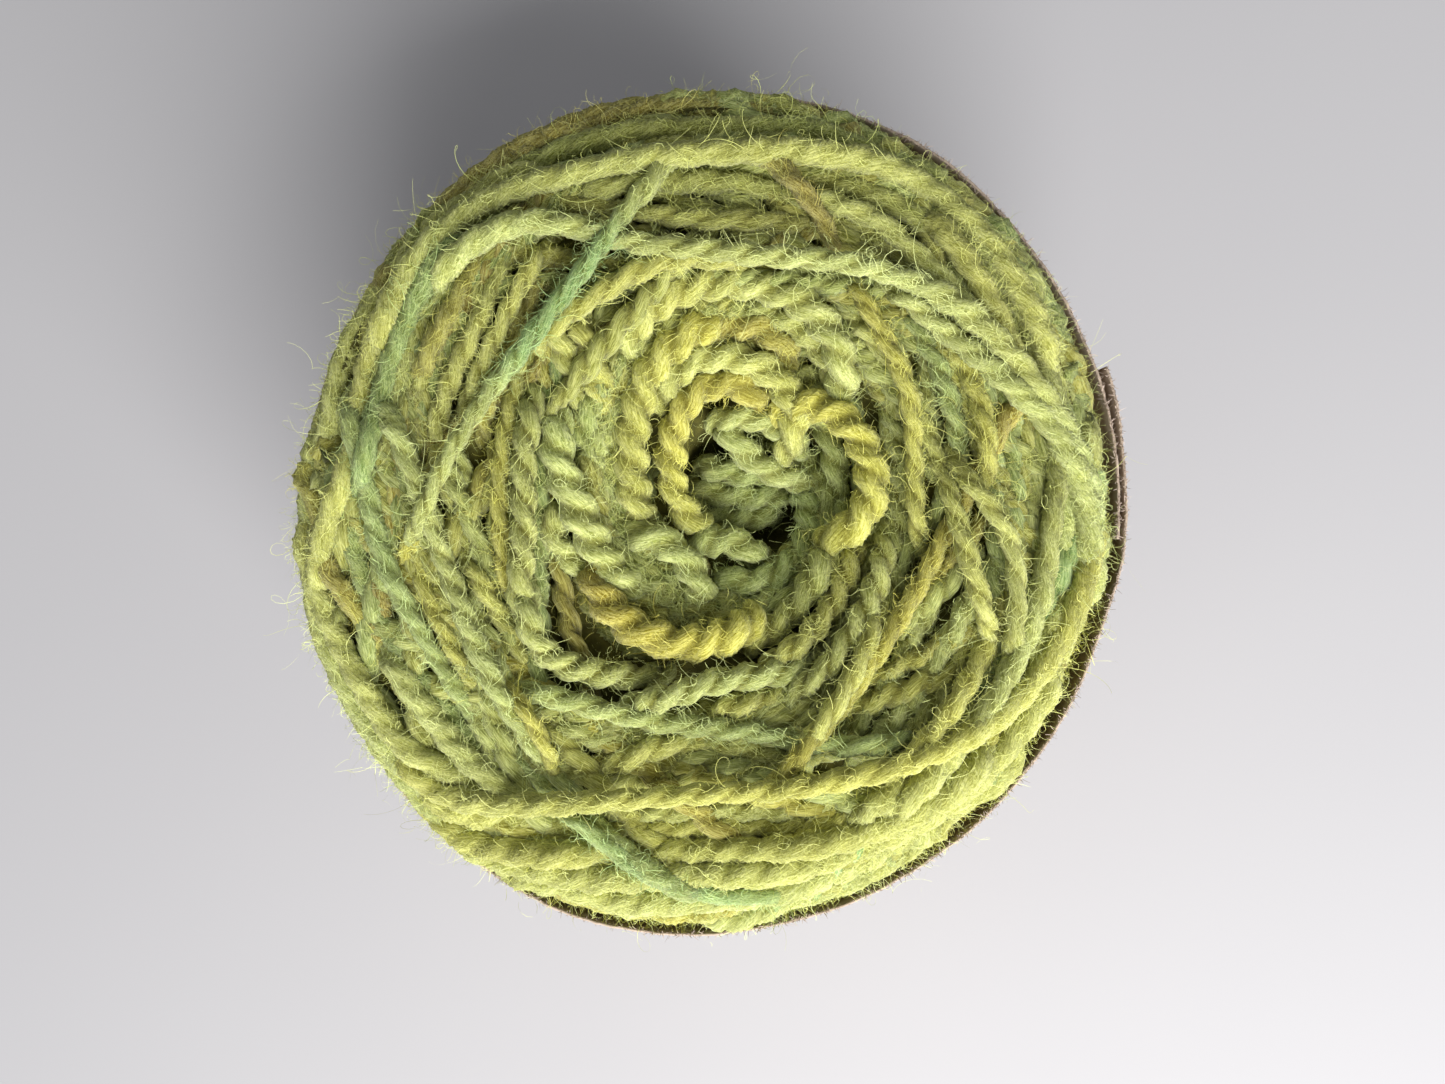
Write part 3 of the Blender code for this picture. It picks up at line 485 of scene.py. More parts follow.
# How much of the pile's height is kept, how deep it goes and how far its ends dive
UNDER_SETTLING = (0.6, -3.0, 1.2)
NAMED_SETTLING = (0.78, -3.6, 3.6)
DIVE_REACH = 5.5

# Towards the rim the strands lie flatter, sink and are fluffier
RIM_STARTS = (32.0, 39.5)
RIM_FLATTENING = 0.55
RIM_SINK = 1.35
FLUFF_STARTS = (27.0, 37.0)
RIM_FLUFF = 0.20
SEEN_FADES = (32.0, 38.0)

# The far side is given a deeper dye as painted shade of the side that faces away from the key
# light, and the gold is dyed deeper. The far side is measured along a slanting line. Of the under
# layers' own depth a share is kept, to which a depth and a painted shade for the far side are
# added. The old gold of the far left rim is a dye and a depth, between two turns, and its depth is
# partly painted shade of that rim.
FAR_SHADE_DEPTH = 0.36
FAR_SHADE_SLANT = 0.3
FAR_SHADE_STARTS = (-4.0, 44.0)
UNDER_SHADE_SLANT = 0.35
UNDER_SHADE_STARTS = (-30.0, 42.0)
UNDER_DEEP_AND_SHADE = (0.4, 0.14, 0.34)
GOLD_DEPTH = 0.45
GOLD_STARTS = (0.78, 0.98)
OLD_GOLD_AND_SHADE = (0.97, 0.95)
OLD_GOLD_STARTS = (92.0, 108.0)
OLD_GOLD_ENDS = (138.0, 156.0)
OLD_GOLD_AWAY = (36.0, 38.5)

# The relaxed loops, and the lesser ones that fill the well's wall
LOOP_POINTS = 80
LOOP_END_DIVE = 2.6
LOOP_END_SHARE = 0.16
RELAXED_BULK = 1.08
WALL_LOOPS = 62
WALL_AWAY = (6.0, 19.0)
WALL_TURN = 2.4
WALL_REACH = (0.9, 2.2)
WALL_POINTS = 40
WALL_SHIFT = 0.8
WALL_DYE = (0.35, 0.75)
WALL_DEEP = 0.6
WALL_RADII = (0.0, 5.0, 7.0, 9.8, 15.0, 20.0)
WALL_HEIGHTS = (38.0, 39.0, 41.8, 45.2, 47.6, 49.6)
WALL_THICK = 1.45

# The passes round the foot and under the base
FOOT_RINGS = 20
RING_POINTS = 90
RING_REACH = 54.0
RING_AWAY = (38.0, 47.5)
RING_DRIFT = 1.2
FOOT_PASSES = 56
FOOT_POINTS = 50
FOOT_LEANS = (16.0, 30.0)
FOOT_CLOSEST = (20.0, 35.0)
FOOT_FURTHEST = 49.0
FOOT_THICK = 1.3
FOOT_LIFT = 0.7
FOOT_LOWEST = 1.34
FOOT_DYE = (0.55, 0.16, 0.05, 0.98)
FOOT_DEEP = (0.1, 0.45)

# The yarn under the strands
INNER_LIFT = -3.8
INNER_END = 0.6
INNER_RISE = (20.0, 34.0)
INNER_LOWEST = 0.3
INNER_ROWS = 80
INNER_COLUMNS = 120

# The two plies: how far each lies off the centre, how long one turn is, how their grooves fade
# towards the rim, and how fast the fibres turn back
PLIES = 2
TAUT_PLY, TAUT_LEAD = 0.275, 6.6
RELAXED_PLY, RELAXED_LEAD = 0.30, 6.0
RELAXED_FROM = 1.38
UNDER_SIDES, WALL_SIDES, TAUT_SIDES, RELAXED_SIDES = 8, 10, 12, 14
GROOVE_FADES = (25.0, 38.0)
GROOVE_LOSS = 0.5
FIBRE_TURN = 0.30
TUFTING = 0.028
END_ROUNDING = 1.2

# The paper band
BAND_BOTTOM = 9.0
BAND_TOP = 47.0
BAND_PAPER = 0.4
BAND_WALL = BAND_PAPER * 0.8
BEHIND_STARTS = (7.0, 8.6)
BEHIND_ENDS = (47.9, 49.2)
BAND_ROOM = 1.40
FREE_ROOM = 1.25
BAND_OUTER_END = 20.0
BAND_OVERLAP = 24.0
BAND_LAP_GAP = 0.32
BAND_LAP_EASE = 16.0
BAND_FLARE = 0.35
BAND_FLARE_TURN = 14.0
BAND_MEAN_RADIUS = 42.0
BAND_EDGE_WAVES = ((0.28, 2.0, 0.6), (0.16, 7.0, 0.0), (0.10, 17.0, 0.0))
BAND_ROUNDING = 0.05
ROUNDING_STARTS = (0.97, 1.0)
TORN_STARTS = (0.965, 0.996)
BAND_COLUMNS = 760
BAND_RISE_SHARES = np.array([0.0, 0.02, 0.2, 0.45, 0.7, 0.88, 0.96, 0.985, 0.994, 1.0])

# Slow wanders of the band: of its two edges, of its face and of its torn part
TOP_EDGE_COARSE = (1.9, 0.08)
TOP_EDGE_FINE = (0.5, 0.07)
LOW_EDGE = (0.6, 0.05)
BAND_RIPPLE = (12.0, 0.05)
TORN_WANDER = (1.2, 0.25)

# The pale fibres of the band's top edge
EDGE_FIBRES = 5200
EDGE_FIBRE_HALF = 0.035
EDGE_FIBRE_SHARES = np.array([1.0, 0.8, 0.35])
EDGE_FIBRE_SIZES = (0.12, 0.55)
EDGE_FIBRE_SUNK = 0.05


def smooth_step(value, low, high):
    """Rises from 0 at low to 1 at high, level at both ends."""
    share = np.clip((value - low) / (high - low), 0.0, 1.0)
    return share * share * (3.0 - 2.0 * share)


def smooth_line(rows, step):
    """Even points about a step apart on a smooth line through the rows.

    Each span is a cubic whose slope at a row is half the way from the row before to the one
    after; the fine line is then cut into even lengths.
    """
    rows = np.array(rows, dtype=float)
    before = np.vstack([2.0 * rows[:1] - rows[1:2], rows[:-1]])
    after = np.vstack([rows[1:], 2.0 * rows[-1:] - rows[-2:-1]])
    slopes = (after - before) / 2.0
    t = np.linspace(0.0, 1.0, SPAN_POINTS, endpoint=False)[None, :, None]
    start, end = rows[:-1, None, :], rows[1:, None, :]
    spans = ((2 * t**3 - 3 * t**2 + 1) * start + (t**3 - 2 * t**2 + t) * slopes[:-1, None, :]
             + (3 * t**2 - 2 * t**3) * end + (t**3 - t**2) * slopes[1:, None, :])
    fine = np.vstack([spans.reshape(-1, rows.shape[1]), rows[-1:]])
    return even_line(fine, step)


def run_along(line):
    """The length run from a line's start to each of its points."""
    return np.concatenate([[0.0], np.cumsum(np.linalg.norm(np.diff(line, axis=0), axis=1))])


def even_line(line, step):
    """The same line cut into even lengths of about a step."""
    run = run_along(line)
    count = max(4, round(run[-1] / step) + 1)
    places = np.linspace(0.0, run[-1], count)
    return np.stack([np.interp(places, run, column) for column in line.T], axis=-1)


def blurred(values, points):
    """Values along a line evened out by a bell curve some points wide, held at the ends."""
    reach = max(1, int(3 * points))
    bell = np.exp(-0.5 * (np.arange(-reach, reach + 1) / points) ** 2)
    padded = np.pad(values, reach, mode="edge")
    return np.convolve(padded, bell / bell.sum(), mode="valid")


def soft_floor(height, floor):
    """Heights that level out towards a floor, so that what lies deep still shows in the gaps."""
    sharpness = 2.2
    return floor + np.log1p(np.exp(np.clip((height - floor) * sharpness, -40.0, 40.0))) / sharpness


def level_places(away, angle):
    """Flat places at distances from the axis and angles."""
    return np.stack([away * np.cos(angle), away * np.sin(angle)], axis=-1)


def distance(places):
    """How far places or points lie from the axis."""
    return np.hypot(places[:, 0], places[:, 1])


def spread(bounds, share):
    """The value a share of the way between two bounds."""
    return bounds[0] + (bounds[1] - bounds[0]) * share


def unit(vectors):
    """Vectors made one long, along the last axis."""
    return vectors / np.maximum(np.linalg.norm(vectors, axis=-1), 1e-6)[..., None]


def end_share(run, reach):
    """1 at a line's two ends and 0 from a reach inwards."""
    return 1.0 - smooth_step(np.minimum(run, run[-1] - run), 0.0, reach)


def slow_noise(random, run, length, size):
    """A smooth random wander along a run: random values every length, joined by smooth curves."""
    knots = np.arange(-1, int(run[-1] / length) + 3) * length
    values = random.normal(0.0, size, len(knots))
    spot = run / length + 1.0
    index = np.clip(spot.astype(int), 0, len(knots) - 2)
    share = spot - index
    share = share * share * (3.0 - 2.0 * share)
    return values[index] * (1.0 - share) + values[index + 1] * share


def outline(angle, column):
    """A column of the outline's table at any angle in radians, closed and smooth."""
    rows = np.array(OUTLINE, dtype=float)
    turn = np.degrees(angle) % 360.0
    places = np.concatenate([rows[:, 0] - 360.0, rows[:, 0], rows[:, 0] + 360.0])
    values = np.tile(rows[:, column], 3)
    return sum(np.interp(turn + shift, places, values) for shift in OUTLINE_BLUR) / len(OUTLINE_BLUR)


class CakeForm:
    """The section turned round the axis, with its well moved aside and its outline uneven."""

    def __init__(self):
        self.line = smooth_line(SECTION, SECTION_STEP)
        self.line[:, 1] = np.maximum(self.line[:, 1], 0.0)
        ahead = np.gradient(self.line, axis=0)
        size = np.hypot(ahead[:, 0], ahead[:, 1])
        self.out = np.stack([-ahead[:, 1] / size, ahead[:, 0] / size], axis=-1)
        self.run = run_along(self.line)
        zoom = (CAMERA_HEIGHT - READING_HEIGHT) / (CAMERA_HEIGHT - self.line[:, 1])
        seen = self.line[:, 0] * zoom
        last = int(np.argmax(seen)) - SEEN_BACK
        past = self.run[last:] - self.run[last]
        self.seen = np.concatenate([seen[:last], seen[last] + past])
        self.length = self.run[-1]

    def top(self, places, lift):
        """Points over places on the reading level, lifted out of the surface, and their ups.

        A place's distance from the axis gives its run along the section. Inside the outline's
        start the point stays at its own place, at the height that the moved well leaves there.
        """
        away = distance(places)
        angle = np.arctan2(places[:, 1], places[:, 0])
        uneven = outline(angle, 1) / RIM_RADIUS - 1.0
        plain = away / (1.0 + uneven * smooth_step(away, OUTLINE_STARTS, RIM_RADIUS - RIM_EASE))
        run = np.interp(plain, self.seen, self.run)
        return self.at(angle, run, lift, settle_well=True)

    def at(self, angle, run, lift, settle_well=False):
        """Points at angles and runs along the section, and the directions that face outwards."""
        radius = np.interp(run, self.run, self.line[:, 0])
        height = np.interp(run, self.run, self.line[:, 1])
        out_r = np.interp(run, self.run, self.out[:, 0])
        out_z = np.interp(run, self.run, self.out[:, 1])
        skyward = (1.0 - smooth_step(radius, *SKYWARD_ENDS)) * smooth_step(height, *SKYWARD_RISE)
        out_r = out_r * (1.0 - skyward)
        out_z = out_z * (1.0 - skyward) + skyward
        size = np.hypot(out_r, out_z)
        out_r, out_z = out_r / size, out_z / size
        if settle_well:
            x, y = radius * np.cos(angle), radius * np.sin(angle)
            own = np.hypot(x - WELL_OFFSET[0], y - WELL_OFFSET[1])
            for _ in range(3):
                slide = 1.0 - smooth_step(own, *WELL_OFFSET_FADES)
                own = np.hypot(x - WELL_OFFSET[0] * slide, y - WELL_OFFSET[1] * slide)
            top_part = self.run < self.run[np.argmax(self.line[:, 1] > WELL_CREST)] + WELL_MARGIN
            settled = np.interp(own, self.line[top_part, 0], self.line[top_part, 1])
            share = 1.0 - smooth_step(radius, *WELL_ENDS)
            height = height * (1.0 - share) + settled * share
        uneven = outline(angle, 1) / RIM_RADIUS - 1.0
        side = radius * (1.0 + uneven * smooth_step(radius, OUTLINE_STARTS, RIM_RADIUS)) + lift * out_r
        points = np.stack([side * np.cos(angle), side * np.sin(angle), height + lift * out_z], axis=-1)
        ups = np.stack([out_r * np.cos(angle), out_r * np.sin(angle), out_z], axis=-1)
        return points, ups


# A strand's centre line, with its ups, half thickness, dye and depth of dye at each point, the
# number of its sides, its plies' turn at the start and how far they lie off the centre
Strand = namedtuple("Strand", "line ups thick dye deep sides start ply")


class Pile:
    """Strands laid one on another over a flat map, each resting on what already lies there."""

    def __init__(self):
        size = int(2 * PILE_HALF / PILE_CELL) + 1
        self.heights = np.zeros((size, size))

    def cells(self, places, offsets):
        """The map's cells at each place and offset."""
        spots = places[:, None, :] + offsets[None, :, :]
        return np.clip(((spots + PILE_HALF) / PILE_CELL).round().astype(int), 0, len(self.heights) - 1)

    def under(self, places):
        """The map's height at each place."""
        spots = self.cells(places, np.zeros((1, 2)))[:, 0]
        return self.heights[spots[:, 1], spots[:, 0]]

    def raise_to(self, places, heights, thick, squash):
        """Lifts the map to the round top of a strand whose centre has these heights."""
        offsets, far = cells_about(thick)
        spots = self.cells(places, offsets)
        top = heights[:, None] + np.sqrt(thick**2 - far**2)[None, :] * squash
        np.maximum.at(self.heights, (spots[..., 1], spots[..., 0]), top)

    def lay(self, places, thick, squash, spring):
        """The heights of a strand's centre laid over its places, which the map then holds.

        The support is the highest cell under the strand. A taut strand is a smooth line that
        never dips under its support: it is evened out and lifted back a few times.
        """
        spots = self.cells(places, cells_about(thick * SUPPORT_SHARE)[0])
        support = self.heights[spots[..., 1], spots[..., 0]].max(axis=1) + thick * squash
        height = support
        for _ in range(PILE_ROUNDS):
            height = np.maximum(blurred(height, spring), support)
        height = blurred(height, spring * PILE_LAST_SPRING)
        self.raise_to(places, height, thick, squash)
        return height


def cells_about(radius):
    """The offsets of the map's cells within a radius, and how far each lies off."""
    reach = np.arange(-PILE_REACH, PILE_REACH + 1) * PILE_CELL
    offsets = np.stack(np.meshgrid(reach, reach), axis=-1).reshape(-1, 2)
    far = distance(offsets)
    return offsets[far < radius], far[far < radius]


def settled_heights(rows):
    """Heights for strands given from the lowest to the uppermost.

    The strands are piled up from a floor, and again hung down in turn from a ceiling. Both keep
    each strand off the ones it crosses, and so does any mix of the two. The pile's own broad
    shape is taken off the first, which leaves the ridges of the upper strands on an even top.
    """
    rising = Pile()
    up = [rising.lay(places, thick, PILE_SQUASH, PILE_SPRING) for places, thick in rows]
    broad = Pile()
    broad.heights = spread_out(rising.heights, PILE_BREADTH / PILE_CELL)
    hanging = Pile()
    down = [-hanging.lay(places, thick, PILE_SQUASH, PILE_SPRING) for places, thick in reversed(rows)]
    down.reverse()
    return [PILE_FLOOR_SHARE * (rise - broad.under(places)) + (1.0 - PILE_FLOOR_SHARE) * hang
            for (places, _), rise, hang in zip(rows, up, down)]


def spread_out(heights, cells):
    """A map evened out by a bell curve some cells wide, along its rows and then its columns."""
    reach = int(3 * cells)
    bell = np.exp(-0.5 * (np.arange(-reach, reach + 1) / cells) ** 2)
    bell /= bell.sum()
    for _ in range(2):
        padded = np.pad(heights, ((reach, reach), (0, 0)), mode="edge")
        heights = sum(weight * padded[start:start + len(heights)] for start, weight in enumerate(bell)).T
    return heights


def chosen_dye(random, middle, width, low, high):
    """A dye drawn from about a middle one, between bounds."""
    return float(np.clip(random.normal(middle, width), low, high))


def fill_rows(random):
    """The under layers: bowed chords, each turned a golden angle from the last.

    A chord's distance from the axis is its closest distance / cos(straightness x turn).
    """
    rows = []
    for layer in range(FILL_LAYERS):
        for index in range(FILL_PASSES):
            share = (index * GOLDEN_SHARE + layer * FILL_LAYER_SHARE) % 1.0
            half = spread(FILL_REACH, share)
            turn = np.radians(np.linspace(-half, half, PASS_POINTS))
            straightness = spread(FILL_STRAIGHT, 0.5 + 0.5 * random.uniform(-1.0, 1.0))
            away = spread(FILL_CLOSEST, share) / np.cos(straightness * turn)
            away = away + slow_noise(random, np.linspace(0, 60, PASS_POINTS), *FILL_WANDER)
            middle = math.radians(index * GOLDEN_TURN + layer * FILL_LAYER_TURN)
            dye = chosen_dye(random, *FILL_DYE)
            dye_end = float(np.clip(dye + random.normal(0, 0.1), 0, 1))
            rows.append(("fill", dye, dye_end, random.uniform(*FILL_DEEP), FILL_THICK,
                         level_places(away, middle + turn)))
    return rows


def shoulder_rows(random):
    """Arcs that run along the rim and down behind the band, side by side."""
    rows = []
    for index in range(SHOULDER_ROWS):
        turn = np.radians(np.linspace(-1.0, 1.0, PASS_POINTS) * random.uniform(*SHOULDER_REACH))
        drift = random.uniform(-SHOULDER_DRIFT, SHOULDER_DRIFT) * turn + 0.5 * np.sin(3.0 * turn + index)
        away = spread(SHOULDER_AWAY, (index * GOLDEN_SHARE) % 1.0) + drift
        angle = math.radians(index * GOLDEN_TURN + 20.0) + turn
        deep = random.uniform(*SHOULDER_DEEP)
        dye = chosen_dye(random, *SHOULDER_DYE)
        rows.append(("shoulder", dye, dye + random.normal(0, 0.06), deep, SHOULDER_THICK,
                     level_places(away, angle)))
    return rows


@lru_cache(maxsize=1)
def cake_form():
    """The one form that every piece is placed on."""
    return CakeForm()


def dyed(random, name, run, first, last):
    """The dye along a strand: from one end's to the other's, with its stretches and a slow wander."""
    share = run / run[-1]
    dye = first + (last - first) * share + slow_noise(random, run, *TAUT_DYE)
    for stretch, middle, half, value in DYE_STRETCHES:
        if stretch == name:
            bell = 1.0 - smooth_step(np.abs(share - middle), half * 0.4, half)
            dye = dye * (1.0 - bell) + value * bell
    return np.clip(dye, 0.0, 1.0)


@lru_cache(maxsize=1)
def top_strands():
    """The strands of the top, settled into a pile: the under layers, then the table's."""
    random = np.random.default_rng(TOP_SEED)
    laid = []
    rows = fill_rows(random) + shoulder_rows(random) + list(TOP_STRANDS)
    for name, first, last, deep, thick, places in rows:
        step = FILL_STEP if name == "fill" else TAUT_STEP
        line = even_line(places, step) if name in UNDER_ROWS else smooth_line(places, step)
        run = run_along(line)
        drift = np.stack([slow_noise(random, run, *TAUT_DRIFT) for _ in range(2)], axis=-1)
        laid.append((name, first, last, deep, thick, line + drift))
    heights = settled_heights([(row[5], row[4]) for row in laid])
    strands = []
    for (name, first, last, deep, thick, line), height in zip(laid, heights):
        run = run_along(line)
        under = name in UNDER_ROWS
        points, ups = placed_on_top(line, height, under)
        waver = (1.0 + RIM_FLUFF * smooth_step(distance(line), *FLUFF_STARTS)
                 + slow_noise(random, run, *TAUT_THICKNESS))
        dye = dyed(random, name, run, first, last)
        if under:
            # Painted shade: the under layers are dyed deeper towards the far side
            far = smooth_step(line[:, 1] - UNDER_SHADE_SLANT * line[:, 0], *UNDER_SHADE_STARTS)
            deep = deep * UNDER_DEEP_AND_SHADE[0] + UNDER_DEEP_AND_SHADE[1] + UNDER_DEEP_AND_SHADE[2] * far
        else:
            # Painted shade: the far side is dyed deeper
            deep = deep + FAR_SHADE_DEPTH * smooth_step(line[:, 1] - FAR_SHADE_SLANT * line[:, 0], *FAR_SHADE_STARTS)
        # The far left rim's old gold is a dye, and its deeper depth is partly painted shade
        gold_and_shade = far_left(line) if under or name == "far_rim_gold" else 0.0
        dye = dye + (OLD_GOLD_AND_SHADE[0] - dye) * gold_and_shade
        deep = deep + (OLD_GOLD_AND_SHADE[1] - deep) * gold_and_shade
        deep = deep + GOLD_DEPTH * smooth_step(dye, *GOLD_STARTS)
        depth = np.clip(deep + slow_noise(random, run, *TAUT_DEEP), 0.0, 1.0)
        sides = UNDER_SIDES if name == "fill" else TAUT_SIDES
        strands.append(Strand(points, ups, thick * waver, dye, depth, sides, random.uniform(0, 2 * math.pi),
                              RELAXED_PLY if thick > RELAXED_FROM else TAUT_PLY))
    return strands


def top_groups():
    """The strands of the top in three groups: the under layers, those of the rim and the named ones."""
    strands = top_strands()
    under = FILL_LAYERS * FILL_PASSES
    return strands[:under], strands[under:under + SHOULDER_ROWS], strands[under + SHOULDER_ROWS:]


def placed_on_top(line, height, under):
    """A settled strand's points on the cake and their ups: its ends dive between its neighbours."""
    squeeze, depth, dive = UNDER_SETTLING if under else NAMED_SETTLING
    height = soft_floor(height * squeeze, depth)
    height = -soft_floor(-height, -PILE_RISE)
    rim = smooth_step(distance(line), *RIM_STARTS)
    height = height * (1.0 - RIM_FLATTENING * rim) + PILE_CEILING - RIM_SINK * rim
    height = height - dive * end_share(run_along(line), DIVE_REACH)
    points, ups = cake_form().top(line, height)
    return held_in_band(seen_from_above(points, line)), ups


def far_left(places):
    """1 where the old gold and the painted shade of the far left rim show, and 0 away from it."""
    turn = np.degrees(np.arctan2(places[:, 1], places[:, 0]))
    sector = smooth_step(turn, *OLD_GOLD_STARTS) * (1.0 - smooth_step(turn, *OLD_GOLD_ENDS))
    return sector * smooth_step(distance(places), *OLD_GOLD_AWAY)


def seen_from_above(points, places):
    """Moves points level so that the camera sees them at their places, except near the rim."""
    camera = np.array([CAMERA_X, CAMERA_Y])
    zoom = (CAMERA_HEIGHT - points[:, 2:]) / (CAMERA_HEIGHT - READING_HEIGHT)
    seen = camera + (places - camera) * zoom
    share = 1.0 - smooth_step(distance(places), *SEEN_FADES)[:, None]
    level = points[:, :2] * (1.0 - share) + seen * share
    return np.hstack([level, points[:, 2:]])


def held_in_band(points):
    """Keeps a strand's centre line inside the paper band where it runs behind it."""
    angle = np.arctan2(points[:, 1], points[:, 0])
    behind = 1.0 - smooth_step(points[:, 2], *BEHIND_ENDS)
    behind = behind * smooth_step(points[:, 2], *BEHIND_STARTS)
    inmost = outline(angle, 2) - BAND_PAPER - BAND_ROOM
    free = outline(angle, 1) - FREE_ROOM
    most = inmost * behind + free * (1.0 - behind)
    shrink = np.minimum(1.0, most / np.maximum(distance(points), 1.0))
    return points * np.stack([shrink, shrink, np.ones_like(shrink)], axis=-1)


@lru_cache(maxsize=1)
def loop_strands():
    """The relaxed loops of the table, and lesser ones that fill the well's wall behind them."""
    random = np.random.default_rng(LOOP_SEED)
    strands = []
    for index in range(WALL_LOOPS):
        away = spread(WALL_AWAY, (index * GOLDEN_SHARE) % 1.0)
        turn = index * WALL_TURN + np.linspace(0.0, random.uniform(*WALL_REACH), WALL_POINTS)
        radius = away + 0.8 * np.sin(turn * random.uniform(1.5, 3.0) + index)
        height = np.interp(radius, WALL_RADII, WALL_HEIGHTS) - 0.1 + 0.7 * np.sin(turn * 2.7 + index)
        line = np.column_stack([WELL_OFFSET * WALL_SHIFT + level_places(radius, turn), height])
        line = even_line(line, FILL_STEP)
        dye = random.uniform(*WALL_DYE)
        strands.append(relaxed_strand(random, line, dye, dye, WALL_DEEP, WALL_THICK, WALL_SIDES))
    for name, x, y, width, depth, first, last, low, high, rise, dye, dye_end, deep, thick in LOOPS:
        share = np.linspace(0.0, 1.0, LOOP_POINTS)
        angle = np.radians(first + (last - first) * share)
        height = low + (high - low) * share + rise * np.sin(math.pi * share)
        ends = LOOP_END_DIVE * (1.0 - smooth_step(np.minimum(share, 1.0 - share), 0.0, LOOP_END_SHARE))
        line = np.stack([x + width * np.cos(angle), y + depth * np.sin(angle), height - ends], axis=-1)
        line = even_line(line, RELAXED_STEP)
        strands.append(relaxed_strand(random, line, dye, dye_end, deep, thick, RELAXED_SIDES))
    return strands


def relaxed_strand(random, line, dye, dye_end, deep, thick, sides):
    """A loose strand along a line, with a slight wander and an up that points to the sky."""
    run = run_along(line)
    line = line + np.stack([slow_noise(random, run, *RELAXED_DRIFT) for _ in range(3)], axis=-1)
    ups = np.tile([0.0, 0.0, 1.0], (len(line), 1))
    waver = RELAXED_BULK * thick * (1.0 + slow_noise(random, run, *RELAXED_THICKNESS))
    values = dye + (dye_end - dye) * run / run[-1] + slow_noise(random, run, *RELAXED_DYE)
    values = np.clip(values, 0.0, 1.0)
    deep = deep + GOLD_DEPTH * smooth_step(values, *GOLD_STARTS)
    depth = np.clip(deep + slow_noise(random, run, *RELAXED_DEEP), 0.0, 1.0)
    return Strand(line, ups, waver, values, depth, sides, random.uniform(0, 2 * math.pi), RELAXED_PLY)


@lru_cache(maxsize=1)
def foot_strands():
    """Rings round the foot, and passes that show under the band and turn in under the cake."""
    random = np.random.default_rng(FOOT_SEED)
    form = cake_form()
    rows = []
    for index in range(FOOT_RINGS):
        share = np.linspace(-1.0, 1.0, RING_POINTS)
        angle = math.radians(index * GOLDEN_TURN) + math.radians(RING_REACH) * share
        away = spread(RING_AWAY, (index * GOLDEN_SHARE) % 1.0) + RING_DRIFT * share
        rows.append(level_places(away, angle))
    for index in range(FOOT_PASSES):
        lean = math.radians((1.0 if index % 2 else -1.0) * random.uniform(*FOOT_LEANS))
        share = np.linspace(-1.0, 1.0, FOOT_POINTS)
        closest = spread(FOOT_CLOSEST, (index * GOLDEN_SHARE) % 1.0)
        away = closest / np.cos(np.clip(lean * 1.7 * (share - 0.9), -1.15, 1.15))
        away = np.minimum(away, FOOT_FURTHEST)
        rows.append(level_places(away, math.radians(index * GOLDEN_TURN) + lean * share))
    lines = [even_line(row, FILL_STEP) for row in rows]
    strands = []
    for line, height in zip(lines, settled_heights([(line, FOOT_THICK) for line in lines])):
        angle = np.arctan2(line[:, 1], line[:, 0])
        lift = np.clip(height, -3.0, 0.0) + FOOT_LIFT
        points, ups = form.at(angle, form.length - distance(line), lift)
        points = held_in_band(points)
        run = run_along(points)
        points[:, 2] = np.maximum(points[:, 2], FOOT_LOWEST)
        dye = chosen_dye(random, *FOOT_DYE)
        values = np.clip(dye + slow_noise(random, run, *FOOT_WANDER), 0.0, 1.0)
        depth = np.full(len(points), random.uniform(*FOOT_DEEP))
        strands.append(Strand(points, ups, np.full(len(points), FOOT_THICK), values, depth, UNDER_SIDES,
                              random.uniform(0, 2 * math.pi), TAUT_PLY))
    return strands


def frames_of(strand):
    """A strand's tangent, its side and its up at each point, square to one another."""
    tangent = unit(np.gradient(strand.line, axis=0))
    up = unit(strand.ups - tangent * np.sum(strand.ups * tangent, axis=1)[:, None])
    return tangent, np.cross(tangent, up), up


def ply_profile(angle, offset):
    """The distance from a plied strand's centre to its surface, for a thickness of 1.

    Round plies of radius a = 1 - b lie at a distance b about the centre, and the nearest one's
    far side counts: b cos(t) + sqrt(a^2 - b^2 sin(t)^2), with t the turn from that ply.
    """
    half = math.pi / PLIES
    turn = (angle + half) % (2 * half) - half
    return offset * np.cos(turn) + np.sqrt((1.0 - offset) ** 2 - (offset * np.sin(turn)) ** 2)


